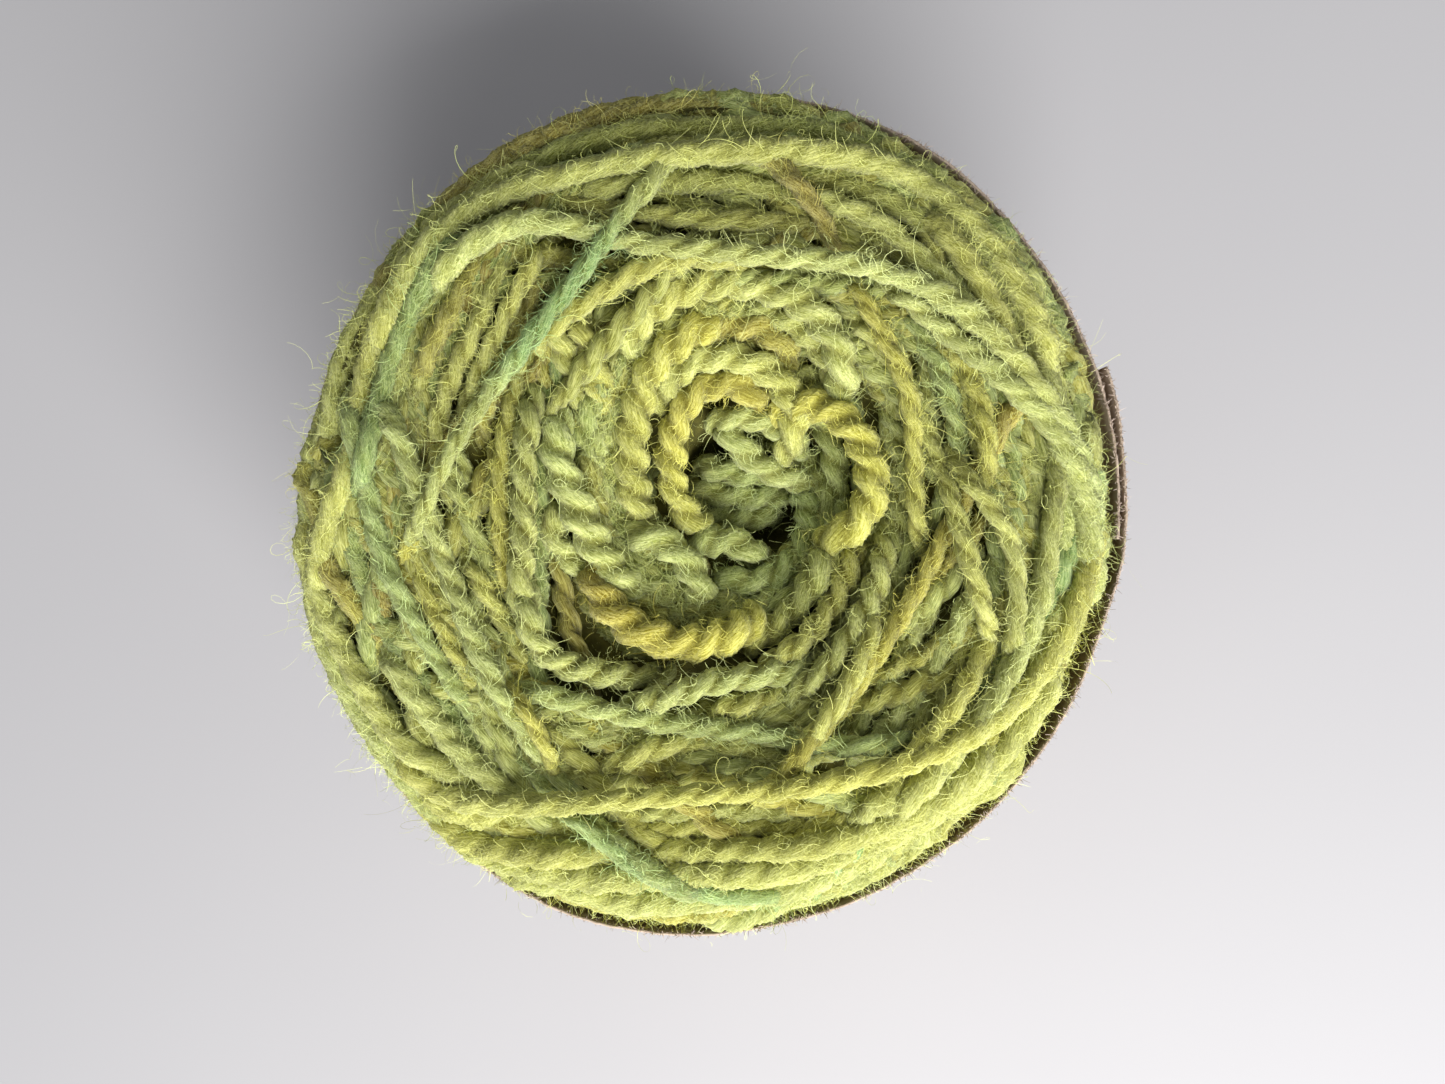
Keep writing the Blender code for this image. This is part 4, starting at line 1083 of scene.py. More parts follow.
def strand_surface(strand):
    """The points of a strand's surface on a grid of sections and sides, and their data.

    The profile turns once in a lead along the strand, so that its grid follows the plies, and
    its grooves are shallower towards the rim, where the wool is rubbed soft. The fibres run at
    a lesser slant than the plies, because each ply's own twist is the other way.
    """
    tangent, side, up = frames_of(strand)
    run = run_along(strand.line)
    around = np.arange(strand.sides) / strand.sides * 2 * math.pi
    lead = RELAXED_LEAD if strand.ply == RELAXED_PLY else TAUT_LEAD
    tufts = np.random.default_rng(len(run) * 7 + int(strand.start * 1000))
    turn = strand.start + run / lead * 2 * math.pi + slow_noise(tufts, run, *TURN_WANDER)
    angle = around[None, :] + turn[:, None]
    groove = 1.0 - GROOVE_LOSS * smooth_step(distance(strand.line), *GROOVE_FADES)
    profile = 1.0 - (1.0 - ply_profile(around, strand.ply))[None, :] * groove[:, None]
    reach = strand.thick[:, None] * profile * (1.0 + tufts.normal(0, TUFTING, profile.shape))
    ends = np.minimum(run, run[-1] - run)
    reach = reach * np.sqrt(np.clip(ends / END_ROUNDING, 0.02, 1.0))[:, None]
    across = (reach * np.cos(angle))[..., None]
    rise = (reach * np.sin(angle))[..., None]
    points = strand.line[:, None, :] + across * side[:, None, :] + rise * up[:, None, :]
    streak = angle - FIBRE_TURN * run[:, None]
    fibre = np.stack([np.cos(streak), np.sin(streak),
                      np.repeat(run[:, None] + strand.start * 50.0, strand.sides, axis=1)], axis=-1)
    # crest runs from 0 in a groove to 1 on a ply's crest and sets the painted shade in the grooves
    low = ply_profile(math.pi / PLIES, RELAXED_PLY)
    crest = (profile - low) / (1.0 - low)
    return points, fibre, crest


def grid_faces(rows, columns, first):
    """Quads of a grid that closes round its columns, counted from a first point."""
    row = np.arange(rows - 1)[:, None]
    column = np.arange(columns)[None, :]
    after = (column + 1) % columns
    corner = first + row * columns
    quads = np.stack(np.broadcast_arrays(corner + column, corner + after,
                                         corner + columns + after, corner + columns + column), axis=-1)
    return quads.reshape(-1, 4)


def end_fans(rows, columns, first):
    """Triangles that close a grid's first and last rows."""
    middle = np.arange(1, columns - 1)
    low = first + np.stack([0 * middle, middle + 1, middle], axis=-1)
    high = first + (rows - 1) * columns + np.stack([0 * middle, middle, middle + 1], axis=-1)
    return np.vstack([low, high])


def ribbons(lines, facing, half):
    """The points of thin ribbons along lines, and a quad for each of their steps.

    A ribbon's breadth lies square to its line and to the direction that it faces.
    """
    count, steps = lines.shape[:2]
    broad = unit(np.cross(np.gradient(lines, axis=1), facing)) * half
    points = np.stack([lines - broad, lines + broad], axis=2).reshape(-1, 3)
    first = (np.arange(count) * steps * 2)[:, None] + (np.arange(steps - 1) * 2)[None, :]
    quads = np.stack([first, first + 1, first + 3, first + 2], axis=-1).reshape(-1, 4)
    return points, quads


def mesh_object(name, points, faces, attributes=(), smooth=True):
    """A new object from points in millimetres and faces, with values kept as attributes."""
    mesh = bpy.data.meshes.new(name)
    mesh.vertices.add(len(points))
    mesh.vertices.foreach_set("co", (points * MM).astype(np.float32).ravel())
    sizes = [face.shape[1] for face in faces]
    loops = np.concatenate([face.ravel() for face in faces]).astype(np.int32)
    totals = np.concatenate([np.full(len(face), size) for face, size in zip(faces, sizes)])
    starts = np.concatenate([[0], np.cumsum(totals)[:-1]]).astype(np.int32)
    mesh.loops.add(len(loops))
    mesh.loops.foreach_set("vertex_index", loops)
    mesh.polygons.add(len(starts))
    mesh.polygons.foreach_set("loop_start", starts)
    mesh.polygons.foreach_set("use_smooth", np.full(len(starts), smooth))
    mesh.update(calc_edges=True)
    for label, kind, values in attributes:
        field = "value" if kind == "FLOAT" else "vector"
        mesh.attributes.new(label, kind, "POINT").data.foreach_set(field, values.astype(np.float32).ravel())
    mesh.validate()
    item = bpy.data.objects.new(name, mesh)
    bpy.context.scene.collection.objects.link(item)
    return item


def strands_object(name, strands):
    """One mesh of many strands, each a closed tube with a fan of faces at each end."""
    points, faces, caps, fibres, crests, dyes, depths = [], [], [], [], [], [], []
    first = 0
    for strand in strands:
        surface, fibre, crest = strand_surface(strand)
        rows, columns = surface.shape[:2]
        crests.append(crest.ravel())
        points.append(surface.reshape(-1, 3))
        fibres.append(fibre.reshape(-1, 3))
        dyes.append(np.repeat(strand.dye, columns))
        depths.append(np.repeat(strand.deep, columns))
        faces.append(grid_faces(rows, columns, first))
        caps.append(end_fans(rows, columns, first))
        first += rows * columns
    return mesh_object(name, np.vstack(points), [np.vstack(faces), np.vstack(caps)], (
        ("fibre", "FLOAT_VECTOR", np.vstack(fibres)),
        ("crest", "FLOAT", np.concatenate(crests)),
        ("dye", "FLOAT", np.concatenate(dyes)),
        ("deep", "FLOAT", np.concatenate(depths)),
    ))


# The kinds of fibre: points along one, and the bounds of its length in millimetres, of its lift
# off the strand, of its curl in millimetres and of its turns, and its share of the full width
FuzzKind = namedtuple("FuzzKind", "points length lift curl turns width")
LYING = FuzzKind(6, (0.8, 2.4), (0.00, 0.22), (0.10, 0.40), (0.3, 0.8), 0.9)
STANDING = FuzzKind(8, (0.35, 2.0), (0.15, 0.80), (0.20, 0.75), (0.4, 1.2), 0.85)
STRAY = FuzzKind(13, (2.0, 6.0), (0.10, 0.70), (0.50, 1.70), (0.5, 1.3), 0.78)

# Fibres that start this far under other wool are left out, except beyond the rim and low down
COVER_DEPTH = 1.5
COVER_ENDS = 37.5
COVER_LOWEST = 30.0
ROOT_SHARE = 0.84

# A fibre's way: its slant along the ply, how much it goes along, how far it strays and how much
# its curl and its breadth turn, the share of its width that its tip loses, and its lowest point
FIBRE_SLANT = 0.5
FIBRE_ALONG = (0.5, 1.3)
FIBRE_STRAYING = 0.35
CURL_TURNING = 0.5
BREADTH_TURNING = 0.4
TIP_LOSS = 0.65
FIBRE_LOWEST = 0.05
UNDERSIDE = -0.1


@lru_cache(maxsize=1)
def cover_map():
    """The highest wool over each cell of the map, from the strands of the top and the loops."""
    cover = Pile()
    for strand in top_strands() + loop_strands():
        cover.raise_to(strand.line[:, :2], strand.line[:, 2], float(np.mean(strand.thick)), 1.0)
    return cover


def fuzz_object(name, strands, per_length, seed, kind, width):
    """Fine curled fibres that stand out of strands, as thin ribbons.

    A fibre leaves the surface along a mix of outwards, along the ply and aside, and curls:
    p(t) = start + length t way + curl (sin(wt) way + (1 - cos(wt)) aside). Where other strands
    lie over its start it is left out.
    """
    random = np.random.default_rng(seed)
    starts, outs, alongs, dyes, deeps = [], [], [], [], []
    for strand in strands:
        tangent, side, up = frames_of(strand)
        run = run_along(strand.line)
        count = random.poisson(run[-1] * per_length)
        spot = random.uniform(0.01, 0.99, count) * (len(run) - 1)
        index = spot.astype(int)
        share = (spot - index)[:, None]
        following = np.minimum(index + 1, len(run) - 1)
        angle = random.uniform(0, 2 * math.pi, count)
        out = np.cos(angle)[:, None] * side[index] + np.sin(angle)[:, None] * up[index]
        centre = strand.line[index] * (1 - share) + strand.line[following] * share
        root = centre + out * strand.thick[index][:, None] * ROOT_SHARE
        bare = root[:, 2] > cover_map().under(root[:, :2]) - COVER_DEPTH
        bare |= (distance(root) > COVER_ENDS) | (root[:, 2] < COVER_LOWEST)
        keep = bare & (np.sum(out * strand.ups[index], axis=1) > UNDERSIDE)
        starts.append(root[keep])
        outs.append(out[keep])
        alongs.append((tangent[index] + FIBRE_SLANT * np.cross(tangent[index], out))[keep])
        dyes.append(strand.dye[index][keep])
        deeps.append(strand.deep[index][keep])
    start, out, along = np.vstack(starts), np.vstack(outs), np.vstack(alongs)
    dye, deep = np.concatenate(dyes), np.concatenate(deeps)
    count = len(start)
    sign = random.choice([-1.0, 1.0], count)[:, None]
    way = along * sign * random.uniform(*FIBRE_ALONG, count)[:, None]
    way = way + out * random.uniform(*kind.lift, count)[:, None]
    way = unit(way + random.normal(0, FIBRE_STRAYING, (count, 3)))
    aside = unit(np.cross(way, out + random.normal(0, CURL_TURNING, (count, 3))))
    aside = aside * random.choice([-1.0, 1.0], count)[:, None]
    size = random.uniform(*kind.length, count)[:, None, None]
    curl = random.uniform(*kind.curl, count)[:, None, None]
    t = np.linspace(0.0, 1.0, kind.points)[None, :, None]
    phase = 2 * math.pi * random.uniform(*kind.turns, count)[:, None, None] * t
    lines = start[:, None, :] + size * t * way[:, None, :]
    lines = lines + curl * (np.sin(phase) * way[:, None, :] + (1.0 - np.cos(phase)) * aside[:, None, :])
    lines[..., 2] = np.maximum(lines[..., 2], FIBRE_LOWEST)
    facing = out[:, None, :] + random.normal(0, BREADTH_TURNING, (count, 1, 3))
    points, quads = ribbons(lines, facing, (1.0 - TIP_LOSS * t) * kind.width * width / 2.0)
    each = kind.points * 2
    return mesh_object(name, points, [quads], (
        ("dye", "FLOAT", np.repeat(dye, each)),
        ("deep", "FLOAT", np.repeat(deep, each)),
        ("tip", "FLOAT", np.tile(np.repeat(t.ravel(), 2), count)),
    ))


def inner_object(name):
    """The yarn under the strands: the cake's turned form as one closed grid, sunk a little."""
    form = cake_form()
    run = np.linspace(INNER_END, form.length - INNER_END, INNER_ROWS)
    angle = np.tile(np.arange(INNER_COLUMNS) / INNER_COLUMNS * 2 * math.pi, INNER_ROWS)
    points, _ = form.at(angle, np.repeat(run, INNER_COLUMNS), np.full(len(angle), INNER_LIFT))
    slide = 1.0 - smooth_step(distance(points), *WELL_OFFSET_FADES)
    slide = slide * smooth_step(points[:, 2], *INNER_RISE)
    points[:, :2] += slide[:, None] * WELL_OFFSET
    points = held_in_band(points)
    points[:, 2] = np.maximum(points[:, 2], INNER_LOWEST)
    faces = [grid_faces(INNER_ROWS, INNER_COLUMNS, 0), end_fans(INNER_ROWS, INNER_COLUMNS, 0)]
    return mesh_object(name, points, [face[:, ::-1] for face in faces])


# Materials

class Value:
    """A shader socket with arithmetic: each operator adds its Math node."""

    def __init__(self, shader, socket):
        self.shader = shader
        self.socket = socket

    def math(self, operation, first, second):
        return self.shader.node("ShaderNodeMath", {"operation": operation}, {0: first, 1: second})

    def __add__(self, other):
        return self.math("ADD", self, other)

    __radd__ = __add__

    def __mul__(self, other):
        return self.math("MULTIPLY", self, other)

    __rmul__ = __mul__


class Shader:
    """A material's node tree, with one method that adds any node."""

    def __init__(self, name):
        self.material = bpy.data.materials.new(name)
        self.material.use_nodes = True
        self.tree = self.material.node_tree
        self.surface = self.tree.nodes["Principled BSDF"]

    def node(self, kind, settings=(), inputs=(), output=0):
        """Adds a node, sets its settings and its sockets, and gives its output as a value."""
        made = self.tree.nodes.new(kind)
        for key, value in dict(settings).items():
            if key == "stops":
                self.set_stops(made.color_ramp, value)
            else:
                setattr(made, key, value)
        for key, value in dict(inputs).items():
            self.feed(made.inputs[key], value)
        return Value(self, made.outputs[output])

    def set_stops(self, ramp, stops):
        """Gives a ramp its stops, each a place and a colour."""
        while len(ramp.elements) < len(stops):
            ramp.elements.new(0.5)
        for element, (place, colour) in zip(ramp.elements, stops):
            element.position = place
            element.color = (*colour, 1.0)

    def feed(self, socket, value):
        """Links a value to a socket, or sets the socket to a number or colour."""
        if isinstance(value, Value):
            self.tree.links.new(value.socket, socket)
        elif hasattr(value, "__len__") and len(value) == 3 and socket.type == "RGBA":
            socket.default_value = (*value, 1.0)
        else:
            socket.default_value = value

    def attribute(self, name, output=2):
        """A value kept on the mesh: a number, or with output 1 a vector."""
        return self.node("ShaderNodeAttribute", {"attribute_name": name}, {}, output)

    def place(self):
        """The point's own place on the piece."""
        return self.node("ShaderNodeTexCoord", {}, {}, 3)

    def ramp(self, value, stops):
        return self.node("ShaderNodeValToRGB", {"stops": stops}, {"Fac": value})

    def mix(self, share, first, second, blend="MIX"):
        return self.node("ShaderNodeMix", {"data_type": "RGBA", "blend_type": blend},
                         {0: share, 6: first, 7: second}, 2)

    def times(self, first, second):
        """Two colours multiplied."""
        return self.mix(1.0, first, second, "MULTIPLY")

    def noise(self, vector, scale, detail=2.0, roughness=0.5):
        return self.node("ShaderNodeTexNoise", {"noise_dimensions": "3D"},
                         {"Vector": vector, "Scale": scale, "Detail": detail, "Roughness": roughness})

    def stretched(self, vector, scale):
        return self.node("ShaderNodeVectorMath", {"operation": "MULTIPLY"}, {0: vector, 1: scale})

    def bump(self, height, strength, distance):
        inputs = {"Strength": strength, "Distance": distance, "Height": height}
        normal = self.node("ShaderNodeBump", {}, inputs)
        self.feed(self.surface.inputs["Normal"], normal)

    def set(self, **values):
        """Sets the surface's own sockets by name, with underscores for spaces."""
        for key, value in values.items():
            self.feed(self.surface.inputs[key.replace("_", " ")], value)


def linear(red, green, blue):
    """A colour given as it looks on a screen, from 0 to 255, as the light it stands for."""
    def one(value):
        share = value / 255.0
        return share / 12.92 if share <= 0.04045 else ((share + 0.055) / 1.055) ** 2.4
    return (one(red), one(green), one(blue))


PALE_DYES = (
    (0.00, linear(146, 206, 138)),
    (0.22, linear(192, 220, 148)),
    (0.50, linear(222, 231, 150)),
    (0.75, linear(234, 228, 92)),
    (1.00, linear(234, 208, 8)),
)
DEEP_DYES = (
    (0.00, linear(98, 156, 90)),
    (0.22, linear(126, 156, 66)),
    (0.50, linear(146, 158, 44)),
    (0.75, linear(160, 153, 18)),
    (1.00, linear(164, 141, 0)),
)


def dyed_wool(shader):
    """The wool's colour from its dye and its depth of dye, both kept as attributes."""
    dye = shader.attribute("dye")
    deep = shader.attribute("deep")
    return shader.mix(deep, shader.ramp(dye, PALE_DYES), shader.ramp(dye, DEEP_DYES))


def wool_material():
    """Plied wool: fibre streaks along the plies with painted highlights and painted shade, painted shade in
    the grooves, uneven dye and a soft sheen.
    """
    shader = Shader("plied_wool")
    fibre = shader.attribute("fibre", 1)
    streaks = shader.noise(shader.stretched(fibre, (10.0, 10.0, 0.8)), 1.0, 4.0, 0.75)
    blotches = shader.noise(shader.stretched(fibre, (0.8, 0.8, 0.22)), 1.0, 2.0, 0.5)
    wool = dyed_wool(shader)
    # The streaks are a fibre grain painted with shade between the fibres and highlights on them
    streak_shade = shader.times(wool, (0.44, 0.44, 0.24))
    light = shader.mix(0.42, wool, linear(245, 244, 176))
    streaked = shader.mix(shader.ramp(streaks, ((0.38, (0, 0, 0)), (0.62, (1, 1, 1)))), streak_shade, light)
    blotch = shader.ramp(blotches, ((0.35, (0.72, 0.72, 0.62)), (0.62, (1.08, 1.08, 1.05))))
    uneven = shader.times(streaked, blotch)
    # Painted shade: the wool is darkened and browned in the grooves between the plies, by the crest
    groove_shade = shader.ramp(shader.attribute("crest"), (
        (0.0, (0.38, 0.35, 0.13)), (0.5, (0.88, 0.87, 0.72)), (1.0, (1.0, 1.0, 1.0))))
    shader.set(Base_Color=shader.times(uneven, groove_shade), Roughness=0.88, Specular_IOR_Level=0.15,
               Sheen_Weight=0.35, Sheen_Roughness=0.45, Subsurface_Weight=0.25, Subsurface_Scale=0.0012)
    shader.surface.inputs["Subsurface Radius"].default_value = (1.0, 0.95, 0.4)
    shader.surface.inputs["Sheen Tint"].default_value = (0.86, 0.88, 0.60, 1.0)
    shader.bump(streaks, 0.9, 0.0003)
    return shader.material


def fuzz_material():
    """Single fibres, paler than the strand they stand out of and paler towards their tips: partly their own
    pale tone and partly painted light through the thin fibres.
    """
    shader = Shader("wool_fibres")
    tip = shader.attribute("tip")
    wool = dyed_wool(shader)
    # Painted light: the paleness that rises to the tips stands in for light through the thin fibres
    colour = shader.mix(tip * 0.3 + 0.25, wool, linear(236, 241, 160))
    shader.set(Base_Color=colour, Roughness=0.6, Specular_IOR_Level=0.4)
    return shader.material


def inner_shade_material():
    """The yarn deep inside, seen only in the gaps between strands, coloured dark as painted shade."""
    shader = Shader("inner_wool_painted_shade")
    place = shader.place()
    grain = shader.noise(place, 700.0, 3.0, 0.6)
    # Painted shade: the dark olive of the gaps between strands
    shader.set(Base_Color=shader.ramp(grain, ((0.3, linear(66, 64, 20)), (0.7, linear(108, 104, 40)))),
               Roughness=0.95)
    shader.bump(grain, 0.6, 0.0005)
    return shader.material


def paper_material():
    """Plain brown paper with faint fibres and a mottled tone, paler at its torn top edge: partly its torn
    fibres and partly a painted highlight where the edge catches the light.
    """
    shader = Shader("brown_paper")
    place = shader.place()
    fibres = shader.noise(shader.stretched(place, (900.0, 900.0, 260.0)), 1.0, 4.0, 0.65)
    mottle = shader.noise(place, 90.0, 3.0, 0.5)
    tone = shader.mix(mottle, linear(122, 101, 76), linear(146, 123, 96))
    flecks = shader.ramp(fibres, ((0.4, (0, 0, 0)), (0.75, (1, 1, 1))))
    flecked = shader.mix(flecks, tone, linear(156, 135, 110))
    # Torn edge: pale torn fibres, and a painted highlight where the edge catches the light
    colour = shader.mix(shader.attribute("torn"), flecked, linear(184, 166, 148))
    shader.set(Base_Color=colour, Roughness=0.86, Specular_IOR_Level=0.25)
    shader.bump(fibres, 0.4, 0.0002)
    return shader.material


def edge_material():
    """The pale torn fibres along the paper's cut edge."""
    shader = Shader("paper_edge")
    place = shader.place()
    grain = shader.noise(place, 1500.0, 2.0, 0.5)
    shader.set(Base_Color=shader.mix(grain, linear(172, 152, 136), linear(206, 188, 174)), Roughness=0.9)
    return shader.material


def floor_material():
    """A plain pale floor with the faintest unevenness of tone."""
    shader = Shader("pale_floor")
    place = shader.place()
    cloud = shader.noise(place, 9.0, 2.0, 0.5)
    shader.set(Base_Color=shader.mix(cloud, linear(170, 168, 170), linear(178, 176, 177)), Roughness=0.75)
    return shader.material


def band_radius(turn):
    """The band's outer face after a clockwise turn from its outer end, as in the cake's form."""
    angle = math.radians(BAND_OUTER_END) - turn
    lap = 1.0 - smooth_step(np.degrees(turn), BAND_OVERLAP, BAND_OVERLAP + BAND_LAP_EASE)
    flare = BAND_FLARE * (1.0 - smooth_step(np.degrees(turn), 0.0, BAND_FLARE_TURN))
    return outline(angle, 2) + lap * (BAND_PAPER + BAND_LAP_GAP) + flare


def band_edge(turn):
    """How far the band's top edge strays from level along a clockwise turn."""
    return sum(size * np.sin(waves * turn + start) for size, waves, start in BAND_EDGE_WAVES)


def band_object(name):
    """The paper strip: an outer and an inner face on one grid that closes round its edges.

    The grid's columns follow the strip's length, and its rows go up the outer face, over the
    rough top edge, down the inner face and back under the lower edge.
    """
    random = np.random.default_rng(BAND_SEED)
    turn = np.radians(np.linspace(0.0, 360.0 + BAND_OVERLAP, BAND_COLUMNS))
    angle = math.radians(BAND_OUTER_END) - turn
    run = turn * BAND_MEAN_RADIUS
    rough = slow_noise(random, run, *TOP_EDGE_FINE) + slow_noise(random, run, *TOP_EDGE_COARSE)
    low = BAND_BOTTOM + slow_noise(random, run, *LOW_EDGE)
    ripple = slow_noise(random, run, *BAND_RIPPLE)
    top = BAND_TOP + band_edge(turn) + rough
    rows, pale = [], []
    faces = ((BAND_RISE_SHARES, 0.0, -BAND_ROUNDING), (BAND_RISE_SHARES[::-1], BAND_WALL, BAND_ROUNDING))
    for shares, inwards, rounding in faces:
        for share in shares:
            away = band_radius(turn) + ripple * (1.0 - 0.6 * share) - inwards
            away = away + rounding * smooth_step(share, *ROUNDING_STARTS)
            rows.append(np.column_stack([level_places(away, angle), low + (top - low) * share]))
            # The torn part is paler: torn fibres and a painted highlight on the edge
            torn = smooth_step(share, *TORN_STARTS) * (1.0 + slow_noise(random, run, *TORN_WANDER))
            pale.append(torn)
    points = np.stack(rows, axis=1).reshape(-1, 3)
    quads = [grid_faces(BAND_COLUMNS, len(rows), 0)[:, ::-1]]
    near = np.arange(len(rows) // 2 - 1)
    far = len(rows) - 1 - near
    end = np.stack([near, near + 1, far - 1, far], axis=-1)
    quads += [end, (end + (BAND_COLUMNS - 1) * len(rows))[:, ::-1]]
    values = np.clip(np.stack(pale, axis=1).ravel(), 0.0, 1.0)
    return mesh_object(name, points, [np.vstack(quads)], (("torn", "FLOAT", values),))


def edge_fibres_object(name):
    """Short pale fibres that stand out of the band's top edge, as thin ribbons."""
    random = np.random.default_rng(EDGE_SEED)
    count = EDGE_FIBRES
    turn = random.uniform(0.0, math.radians(360.0 + BAND_OVERLAP), count)
    away = band_radius(turn) - random.uniform(0.0, BAND_WALL, count)
    start = np.column_stack([level_places(away, math.radians(BAND_OUTER_END) - turn),
                             BAND_TOP + band_edge(turn) - EDGE_FIBRE_SUNK])
    way = unit(np.stack([random.normal(0, 0.8, count), random.normal(0, 0.8, count),
                         random.uniform(0.1, 1.0, count)], axis=-1))
    size = random.uniform(*EDGE_FIBRE_SIZES, count)[:, None]
    sag = random.normal(0, 0.35, (count, 3))
    lines = np.stack([start + size * (t * way + t * t * sag) for t in (0.0, 0.5, 1.0)], axis=1)
    half = EDGE_FIBRE_SHARES[None, :, None] * EDGE_FIBRE_HALF
    points, quads = ribbons(lines, random.normal(0, 1, (count, 1, 3)), half)
    return mesh_object(name, points, [quads])


def dress(item, material, node):
    """Gives a piece its material, the body it rides on and the node it stands for."""
    item.data.materials.append(material)
    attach(item, BODY)
    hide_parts(node)


@lru_cache(maxsize=None)
def material_of(kind):
    """One material of each kind for the whole scene."""
    makers = {"wool": wool_material, "fuzz": fuzz_material, "inner": inner_shade_material,
              "paper": paper_material, "edge": edge_material, "floor": floor_material}
    return makers[kind]()


class StrandSettings(bpy.types.PropertyGroup):
    """Sizes of the strands and their fuzz."""

    lying: bpy.props.FloatProperty(
        name="Lying fibres", description="Fibres along a strand's surface for each millimetre",
        default=8.5, min=0.0)
    standing: bpy.props.FloatProperty(
        name="Standing fibres", description="Fibres that stand out for each millimetre",
        default=8.2, min=0.0)
    stray: bpy.props.FloatProperty(
        name="Stray fibres", description="Long loose fibres for each millimetre", default=1.0, min=0.0)
    fuzz_width: bpy.props.FloatProperty(
        name="Fibre width", description="Width of the widest fibre", default=0.050 * MM,
        subtype="DISTANCE", unit="LENGTH")


class StageSettings(bpy.types.PropertyGroup):
    """The light and the floor."""

    key_power: bpy.props.FloatProperty(
        name="Key light", description="Power of the large soft light", default=5.8, unit="POWER")
    sky_strength: bpy.props.FloatProperty(
        name="Sky", description="Strength of the even light from all sides", default=0.38, min=0.0)


class YARNCAKE_OT_inner(bpy.types.Operator):
    """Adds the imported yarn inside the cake, which shows only in the gaps"""

    bl_idname = "yarncake.inner"
    bl_label = "Inner yarn"

    def execute(self, context):
        dress(inner_object("inner_yarn"), material_of("inner"), "yarn_cake")
        return {"FINISHED"}


class YARNCAKE_OT_strands(bpy.types.Operator):
    """Adds the strands of the top, the loops round the centre and the passes about the foot"""

    bl_idname = "yarncake.strands"
    bl_label = "Strands"

    def execute(self, context):
        fill, rim, top = top_groups()
        middle = len(top) // 2
        groups = (("top_under_strands", fill), ("shoulder_strands", rim),
                  ("top_strands_a", top[:middle]), ("top_strands_b", top[middle:]),
                  ("centre_loops", loop_strands()), ("foot_strands", foot_strands()))
        for name, strands in groups:
            dress(strands_object(name, strands), material_of("wool"), "yarn_cake")
        return {"FINISHED"}


class YARNCAKE_OT_fuzz(bpy.types.Operator):
    """Adds the fine fibres that stand out of the strands"""

    bl_idname = "yarncake.fuzz"
    bl_label = "Fuzz"

    def execute(self, context):
        settings = context.scene.yarn_strands
        width = settings.fuzz_width / MM
        fill, rim, top = top_groups()
        middle = len(top) // 2
        lying, standing, stray = settings.lying, settings.standing, settings.stray
        groups = (
            ("lying_fibres_a", top[:middle], lying, LYING),
            ("lying_fibres_b", top[middle:], lying, LYING),
            ("lying_fibres_centre", loop_strands(), lying, LYING),
            ("lying_fibres_rim", rim, lying * 0.45, LYING),
            ("lying_fibres_under", fill, lying * 0.35, LYING),
            ("standing_fibres_a", top[:middle], standing, STANDING),
            ("standing_fibres_b", top[middle:], standing, STANDING),
            ("standing_fibres_centre", loop_strands(), standing, STANDING),
            ("standing_fibres_rim", rim, standing * 0.58, STANDING),
            ("standing_fibres_under", fill, standing * 0.3, STANDING),
            ("foot_fibres", foot_strands(), lying * 0.1, LYING),
            ("stray_fibres", top + loop_strands(), stray, STRAY),
        )
        for index, (name, strands, per_length, kind) in enumerate(groups):
            fuzz = fuzz_object(name, strands, per_length, FUZZ_SEED + index, kind, width)
            dress(fuzz, material_of("fuzz"), "yarn_cake")
        return {"FINISHED"}


class YARNCAKE_OT_band(bpy.types.Operator):
    """Adds the paper band and the pale fibres of its cut edge"""

    bl_idname = "yarncake.band"
    bl_label = "Paper band"

    def execute(self, context):
        dress(band_object("paper_wrap"), material_of("paper"), "paper_band")
        dress(edge_fibres_object("paper_edge_fibres"), material_of("edge"), "paper_band")
        return {"FINISHED"}


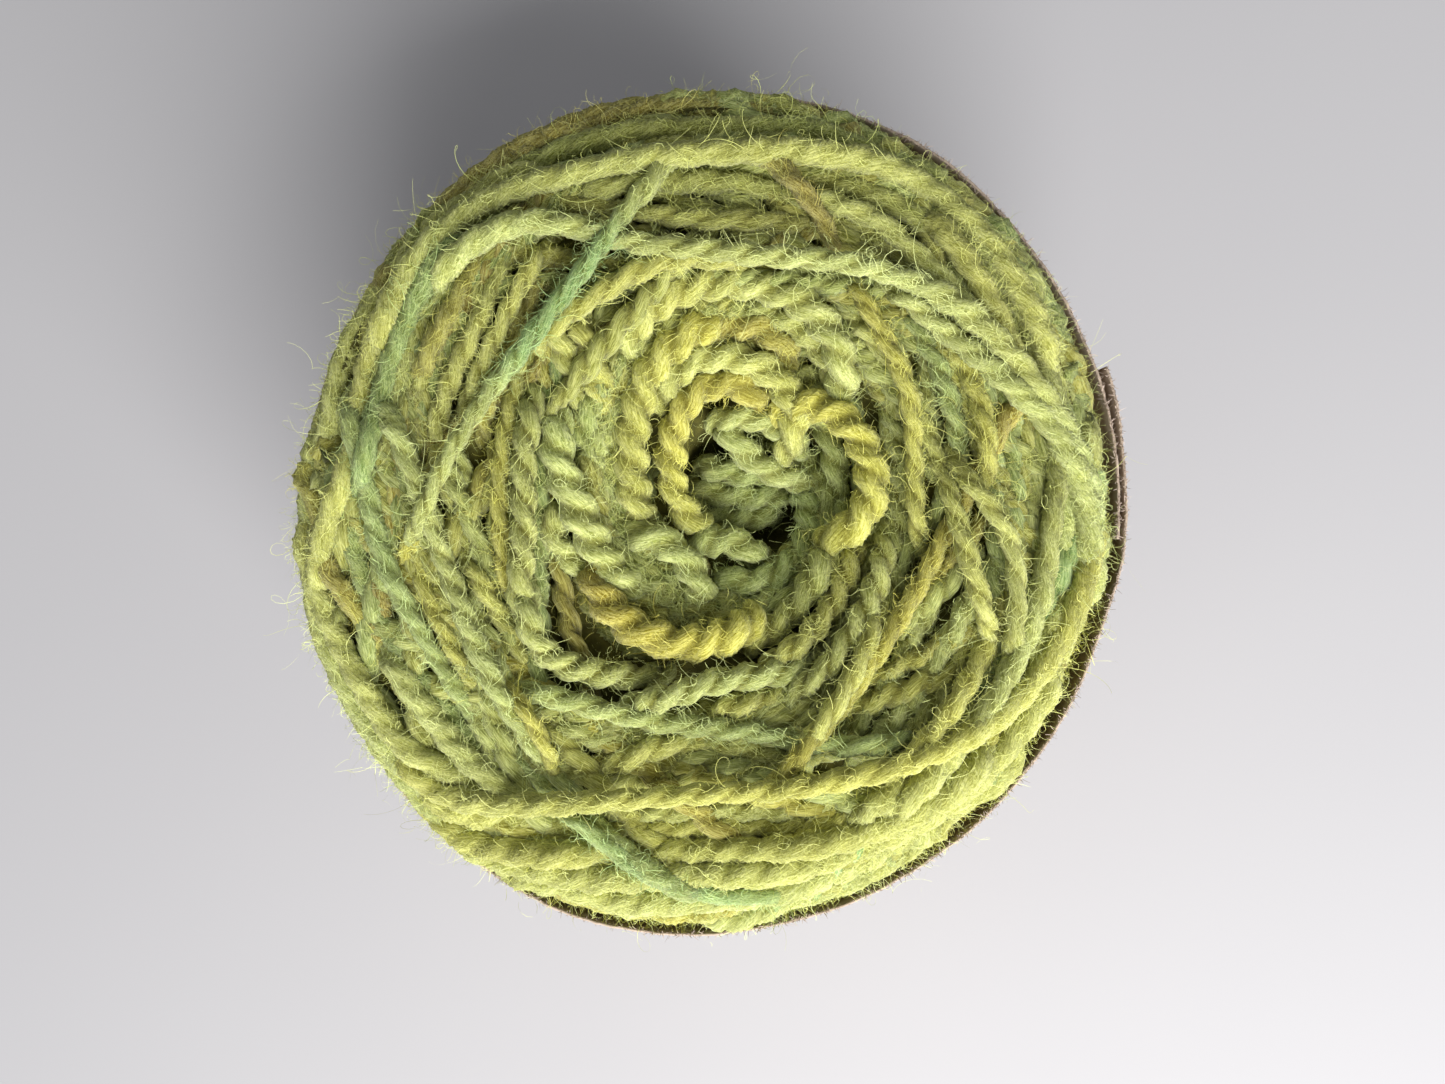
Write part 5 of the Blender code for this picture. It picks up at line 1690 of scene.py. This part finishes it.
class YARNCAKE_OT_stage(bpy.types.Operator):
    """Adds the floor, the light and the camera, which looks straight down"""

    bl_idname = "yarncake.stage"
    bl_label = "Stage"

    def execute(self, context):
        settings = context.scene.yarn_stage
        scene = context.scene
        corners = np.array([(-1, -1, 0), (1, -1, 0), (1, 1, 0), (-1, 1, 0)]) * FLOOR_HALF
        floor = mesh_object("floor", corners, [np.array([[0, 1, 2, 3]])], smooth=False)
        floor.data.materials.append(material_of("floor"))

        world = bpy.data.worlds.new("soft_sky")
        world.use_nodes = True
        sky = world.node_tree.nodes["Background"]
        sky.inputs["Color"].default_value = SKY_COLOUR
        sky.inputs["Strength"].default_value = settings.sky_strength
        scene.world = world

        add_light("key", KEY_PLACE, KEY_SIZE, settings.key_power)

        camera = bpy.data.objects.new("camera", bpy.data.cameras.new("camera"))
        scene.collection.objects.link(camera)
        camera.location = (CAMERA_X * MM, CAMERA_Y * MM, CAMERA_HEIGHT * MM)
        camera.data.sensor_width = SENSOR_WIDTH
        camera.data.lens = SENSOR_WIDTH * FOCAL_PIXELS / PHOTO_WIDTH
        camera.data.clip_start = CLIP_START * MM
        scene.camera = camera
        scene.view_settings.view_transform = "Standard"
        return {"FINISHED"}


def add_light(name, place, size, power):
    """A large soft square light that faces the cake."""
    light = bpy.data.lights.new(name, "AREA")
    light.shape = "SQUARE"
    light.size = size * MM
    light.energy = power
    item = bpy.data.objects.new(name, light)
    bpy.context.scene.collection.objects.link(item)
    item.location = Vector(place) * MM
    aim = Vector(KEY_AIM) * MM - item.location
    item.rotation_euler = aim.to_track_quat("-Z", "Y").to_euler()


class YARNCAKE_PT_panel(bpy.types.Panel):
    """Lists the cake's steps and settings in the sidebar"""

    bl_label = "Yarn cake"
    bl_idname = "YARNCAKE_PT_panel"
    bl_space_type = "VIEW_3D"
    bl_region_type = "UI"
    bl_category = "Yarn cake"

    def draw(self, context):
        layout = self.layout
        for group in (context.scene.yarn_strands, context.scene.yarn_stage):
            for key in group.bl_rna.properties.keys():
                if key not in ("rna_type", "name"):
                    layout.prop(group, key)
        for operator in OPERATORS:
            layout.operator(operator.bl_idname)


OPERATORS = (YARNCAKE_OT_inner, YARNCAKE_OT_strands, YARNCAKE_OT_fuzz, YARNCAKE_OT_band, YARNCAKE_OT_stage)
CLASSES = (StrandSettings, StageSettings, *OPERATORS, YARNCAKE_PT_panel)


def register():
    """Adds the classes and their settings to Blender."""
    for one in CLASSES:
        bpy.utils.register_class(one)
    bpy.types.Scene.yarn_strands = bpy.props.PointerProperty(type=StrandSettings)
    bpy.types.Scene.yarn_stage = bpy.props.PointerProperty(type=StageSettings)


def unregister():
    """Takes the classes and their settings away again."""
    del bpy.types.Scene.yarn_stage
    del bpy.types.Scene.yarn_strands
    for one in reversed(CLASSES):
        bpy.utils.unregister_class(one)


def main():
    """Builds every piece in order."""
    register()
    bpy.ops.yarncake.inner()
    bpy.ops.yarncake.strands()
    bpy.ops.yarncake.fuzz()
    bpy.ops.yarncake.band()
    bpy.ops.yarncake.stage()


if __name__ == "__main__":
    main()
